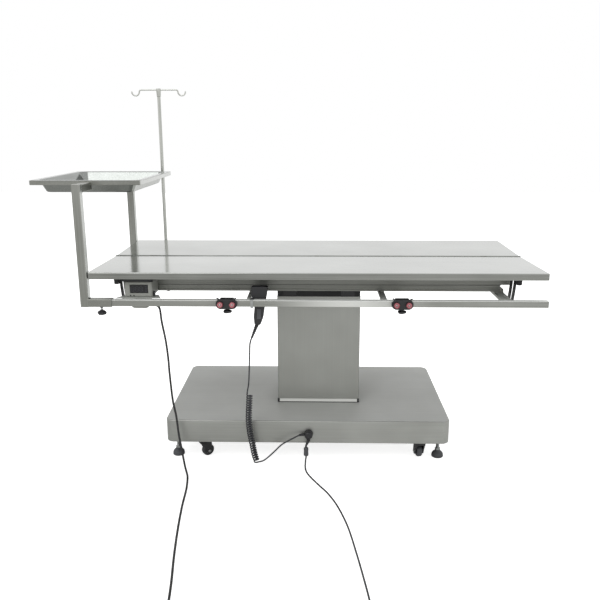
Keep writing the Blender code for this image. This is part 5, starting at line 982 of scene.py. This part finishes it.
def make_cleats():
    """Cord cleats: an oval body with two horns, two toothed cams on tilted bosses and a knob."""
    tilt = math.radians(20)
    axis = np.array((0, -math.cos(tilt), math.sin(tilt)))
    run, radius, face_y = 0.017, 0.015, -0.3043
    oval = np.vstack([arc((run, 0), radius, -QUARTER, QUARTER, 14),
                      arc((-run, 0), -radius, -QUARTER, QUARTER, 14)])
    boss = lathe(0.0008, 28, (7.5, -4), (7.2, 3.5), (6.6, 5))
    cam = plate(lobed(0.0095, 11, 0.09, 132), 0.006, 0.0010, 3)
    pin = lathe(0.0006, 20, (2.5, 4), (2.5, 11.8), (1.2, 12.4))
    ring = washer(0.0042, 0.0066, 0.0, 0.0006, 0.0002)
    for side, x in (("left", -0.266), ("right", 0.252)):
        parts = [moved(plate(oval, 0.008, 0.0018, 4), (x, face_y, 0.5365), FRONT),
                 clamp(0.040, 0.004, 0.0008, 0.0006, (x, -RAIL_Y, RAIL_Z), (-1, 0, 0), FRONT)]
        for s, end in ((-1, "left"), (1, "right")):
            horn = smooth_path([(x + s * dx, face_y, z) for dx, z in (
                (0.018, 0.5480), (0.0215, 0.5500), (0.0252, 0.5525), (0.0285, 0.5552))], 0.0008)
            parts.append(pipe(horn, np.linspace(0.0034, 0.0018, len(horn)), 14))
            seat = np.array((x + s * 0.018, -0.3083, 0.5335))
            parts.append(moved(boss, seat, axis))
            body = f"cam_{side}_{end}"
            piece(f"cam_disc_{side}_{end}", [moved(cam, seat + axis * 0.0083, axis)], RED_CAM,
                  body, [body])
            # A pale ring on the cam: a painted highlight on its top face
            piece(f"cam_ring_{side}_{end}", [moved(ring, seat + axis * 0.0112, axis)], PAINTED_HIGHLIGHT_RING,
                  body, ())
            piece(f"cam_pin_{side}_{end}", [moved(pin, seat, axis)], ZINC, f"cleat_{side}")
        piece(f"cleat_body_{side}", parts, BLACK_ABS, f"cleat_{side}", [f"cleat_{side}"])
        knob = f"cleat_knob_{side}"
        make_knob(f"cleat_{side}_knob", knob, knob, (x, -RAIL_Y, 0.5232), UP, 0.0142, 3, 0.0095,
                  0.0070, 0.0045, 0.0035, 0.62)


# ---------------------------------------------------------------- control box and handset


def make_control_box():
    """The heater's control box: a moulded case with a lip round its face, a smoked display with
    unlit digits, and the rounded belly under it."""
    x, front, z, window_z = -0.53425, -0.270, 0.572, 0.5737

    def on_face(size, corner, over, at_x, out, at_z):
        """A rounded slab on the face."""
        return moved(rounded_box(size, corner, 0.0, over), (at_x, front - out, at_z), FRONT)

    case = moved(rounded_box((0.0835, 0.0797, 0.046), 0.004, 0.003, 0.003, 6, 4),
                 (x, front + 0.03985, z))
    lip = mm((0, -0.8), (0, 0.2), (0.4, 0.6), (2.2, 0.6), (2.6, 0.2), (2.6, -0.8))
    rim = moved(stacked((0.0790, 0.0415), 0.004, lip, 5, ring=True), (x, front, z), FRONT)
    belly = moved(rounded_box((0.058, 0.060, 0.045), 0.014, 0.0138, 0.0, 8, 6),
                  (-0.535, -0.235, 0.5319))
    piece("control_box_case", [case, rim, belly], BOX_ABS, "lift", ["control_box"])
    # A black strip painted as the shadow in the gap between the skirt and the box's top
    shadow_strip = moved(rounded_box((0.094, 0.010, 0.0052), 0.002, 0.0006, 0.0006),
                 (-0.539, -0.2655, 0.5985))
    piece("control_box_shadow_strip", [shadow_strip], BLACK_ABS, "lift")
    # The shelf takes the bar painted lighter, as painted light
    shelf = plate([(-0.600, -0.2797), (-0.466, -0.2797), (-0.480, -0.2430), (-0.578, -0.2430)],
                  0.0016, 0.0003)
    piece("control_box_shelf", [moved(shelf, (0, 0, 0.5481))], PAINTED_LIT_BAR, "lift", ())
    piece("control_box_display", [on_face((0.055, 0.026, 0.0016), 0.0015, 0.0004, -0.532, 0,
                                          window_z)], SMOKED_ACRYLIC, "lift")
    level, upright = (0.007, 0.0011, 0.0003), (0.0011, 0.0056, 0.0003)
    strokes = [(level, 0, dz) for dz in (0.0068, 0, -0.0068)]
    strokes += [(upright, dx, dz) for dx in (-0.0041, 0.0041) for dz in (0.0034, -0.0034)]
    digits = [on_face(size, 0.0004, 0.0, -0.5505 + k * 0.0125 + dx, 0.0009, window_z + dz)
              for k in range(3) for size, dx, dz in strokes]
    digits += [on_face((0.0046, 0.0026, 0.0010), 0.0008, 0.0003, -0.5105, 0.0008,
                       0.5807 - 0.0068 * k) for k in range(3)]
    piece("control_box_digits", digits, DIGIT_GREY, "lift")
    screw = lathe(0.0004, 18, (2.2, 0), (2.2, 0.7), (1.4, 1.2))
    piece("control_box_screws", [moved(screw, (at_x, front - 0.0002, 0.5535), FRONT)
                                 for at_x in (-0.558, -0.548)], BLACK_ABS, "lift")
    rocker = moved(rounded_box((0.008, 0.013, 0.010), 0.0012, 0.0008, 0.0012),
                   (-0.4915, -0.258, 0.5575), RIGHT)
    piece("power_switch_rocker", [rocker], BLACK_ABS, "power_switch", ["power_switch"])


def make_handset():
    """The hand control: a black case with rounded shoulders on a hook strap, its rocker, and the
    tapered relief of its cord."""
    x0, width, bottom, height = -0.1703, 0.0507, 0.464, 0.120
    shares = ((-0.5, 1.0), (-0.5, 0.76), (-0.34, 0.62), (-0.31, 0.45), (-0.37, 0.22), (-0.33, 0.0),
              (0.02, 0.0), (0.20, 0.20), (0.30, 0.50), (0.44, 0.80), (0.5, 1.0))
    outline = rounded([(x0 + a * width, bottom + b * height) for a, b in shares], 0.006, 5, True)
    case = moved(plate(outline, 0.022, 0.0040, 5), (0, HANDSET_Y, 0), FRONT)
    relief_path = smooth_path([(-0.1770, HANDSET_Y, 0.4710), (-0.1790, HANDSET_Y, 0.4660),
                               (-0.1970, HANDSET_Y, 0.4210)], 0.001)
    t = np.linspace(0, 1, len(relief_path))
    ribs = 0.0062 - 0.0032 * t + 0.0005 * np.sign(np.sin(TAU * 9 * t)) * (t < 0.93)
    piece("handset_case", [case, pipe(relief_path, ribs, 20)], BLACK_ABS, "lift", ["handset"])
    strap = mm((-302.8, 524.2), (-295.3, 524.2), (-295.3, 526.7), (-300.3, 526.7),
               (-300.3, 547.3), (-277, 547.3), (-277, 549.8), (-302.8, 549.8))
    piece("handset_hook_strap", [moved(plate(rounded(strap, 0.0006, 2, True), 0.008, 0.0003),
                                       (-0.1915, 0, 0), RIGHT, BACK)], ZINC, "lift", ())
    rocker = moved(rounded_box((0.0125, 0.032, 0.006), 0.002, 0.0006, 0.0012),
                   (x0 - 0.0022, -0.277, 0.500), FRONT)
    piece("handset_rocker_cap", [rocker], GREY_RUBBER, "handset_rocker", ["handset_rocker"])


def dress_nodes():
    """The solids whose shape is right as packed get their real finish."""
    finishes = {"top_frame": FRAME_BAR, "base_frame": FRAME_PAINT, "hinge_pin": ZINC,
                "push_rod": ZINC, "lift_motor": ZINC, "heater_mat_front": BLACK_RUBBER,
                "heater_mat_rear": BLACK_RUBBER}
    for name, material in finishes.items():
        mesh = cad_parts[name].data
        mesh.materials.clear()
        mesh.materials.append(material)


# ---------------------------------------------------------------- room


def make_floor():
    """A pale floor that keeps the shadow. To the camera it glows to white, and mirrors see it
    grow brighter from left to right."""
    mesh = bpy.data.meshes.new("studio_floor")
    reach = 9.0
    mesh.from_pydata([(-reach, -reach, 0), (reach, -reach, 0), (reach, reach, 0),
                      (-reach, reach, 0)], [], [(0, 1, 2, 3)])
    floor = bpy.data.objects.new("studio_floor", mesh)
    bpy.context.scene.collection.objects.link(floor)
    material, tree, place = start_material("pale_floor")
    path = add(tree, 'ShaderNodeLightPath')
    across = add(tree, 'ShaderNodeSeparateXYZ', {'Vector': place}).outputs['X']
    lit = add(tree, 'ShaderNodeMapRange', {'Value': across, 'From Min': -1.1, 'From Max': 1.4,
                                           'To Min': 0.0, 'To Max': 0.34})
    seen = add(tree, 'ShaderNodeMath', {0: path.outputs['Is Glossy Ray'], 1: lit.outputs['Result'],
                                        2: path.outputs['Is Camera Ray']}, operation='MULTIPLY_ADD')
    glow = add(tree, 'ShaderNodeMath', {0: seen.outputs['Value'], 1: 0.80}, operation='MULTIPLY')
    matt = add(tree, 'ShaderNodeBsdfDiffuse', {'Color': linear("#F2F2F0")})
    light = add(tree, 'ShaderNodeEmission', {'Color': (1, 1, 1, 1), 'Strength': glow.outputs[0]})
    both = add(tree, 'ShaderNodeAddShader', {0: matt.outputs['BSDF'], 1: light.outputs['Emission']})
    add(tree, 'ShaderNodeOutputMaterial', {'Surface': both.outputs['Shader']})
    mesh.materials.append(material)


def make_room():
    """A white surround for the camera and the mirrors, paler light from it, and soft lamps, of
    which only the key lamp shows in a mirror."""
    world = bpy.data.worlds.new("white_room")
    bpy.context.scene.world = world
    world.use_nodes = True
    tree = world.node_tree
    tree.nodes.clear()
    path = add(tree, 'ShaderNodeLightPath')
    plain = add(tree, 'ShaderNodeBackground', {'Color': linear("#E8E9EA"), 'Strength': 0.75})
    white = add(tree, 'ShaderNodeBackground', {'Color': (1, 1, 1, 1), 'Strength': 1.0})
    seen = add(tree, 'ShaderNodeMath', {0: path.outputs['Is Camera Ray'],
                                        1: path.outputs['Is Glossy Ray']}, operation='MAXIMUM')
    mix = add(tree, 'ShaderNodeMixShader', {0: seen.outputs['Value'],
                                            1: plain.outputs['Background'],
                                            2: white.outputs['Background']})
    add(tree, 'ShaderNodeOutputWorld', {'Surface': mix.outputs['Shader']})
    lamps = (("key_lamp", (-1.6, -2.6, 3.0), (0.0, 0.0, 0.5), 2.2, 34.0),
             ("fill_lamp", (2.4, -2.0, 2.2), (0.0, 0.0, 0.5), 2.0, 18.0),
             ("top_lamp", (0.2, 0.6, 3.4), (0.0, 0.1, 0.5), 2.4, 26.0))
    for name, place, aim, size, power in lamps:
        data = bpy.data.lights.new(name, 'AREA')
        data.shape = 'SQUARE'
        data.size = size
        data.energy = power
        lamp = bpy.data.objects.new(name, data)
        bpy.context.scene.collection.objects.link(lamp)
        lamp.visible_glossy = name == "key_lamp"
        lamp.location = place
        lamp.rotation_mode = 'QUATERNION'
        lamp.rotation_quaternion = (Vector(aim) - Vector(place)).to_track_quat('-Z', 'Y')
    bpy.context.scene.view_settings.view_transform = 'Standard'


for make in (make_camera, make_heater_cord, make_lift_cord, make_handset_cord, make_top,
             make_rails, make_column, make_base, make_feet, make_casters, make_gland,
             make_tilt_guides, make_stand, make_tray, make_pole, make_cleats, make_control_box,
             make_handset, dress_nodes, make_floor, make_room):
    make()
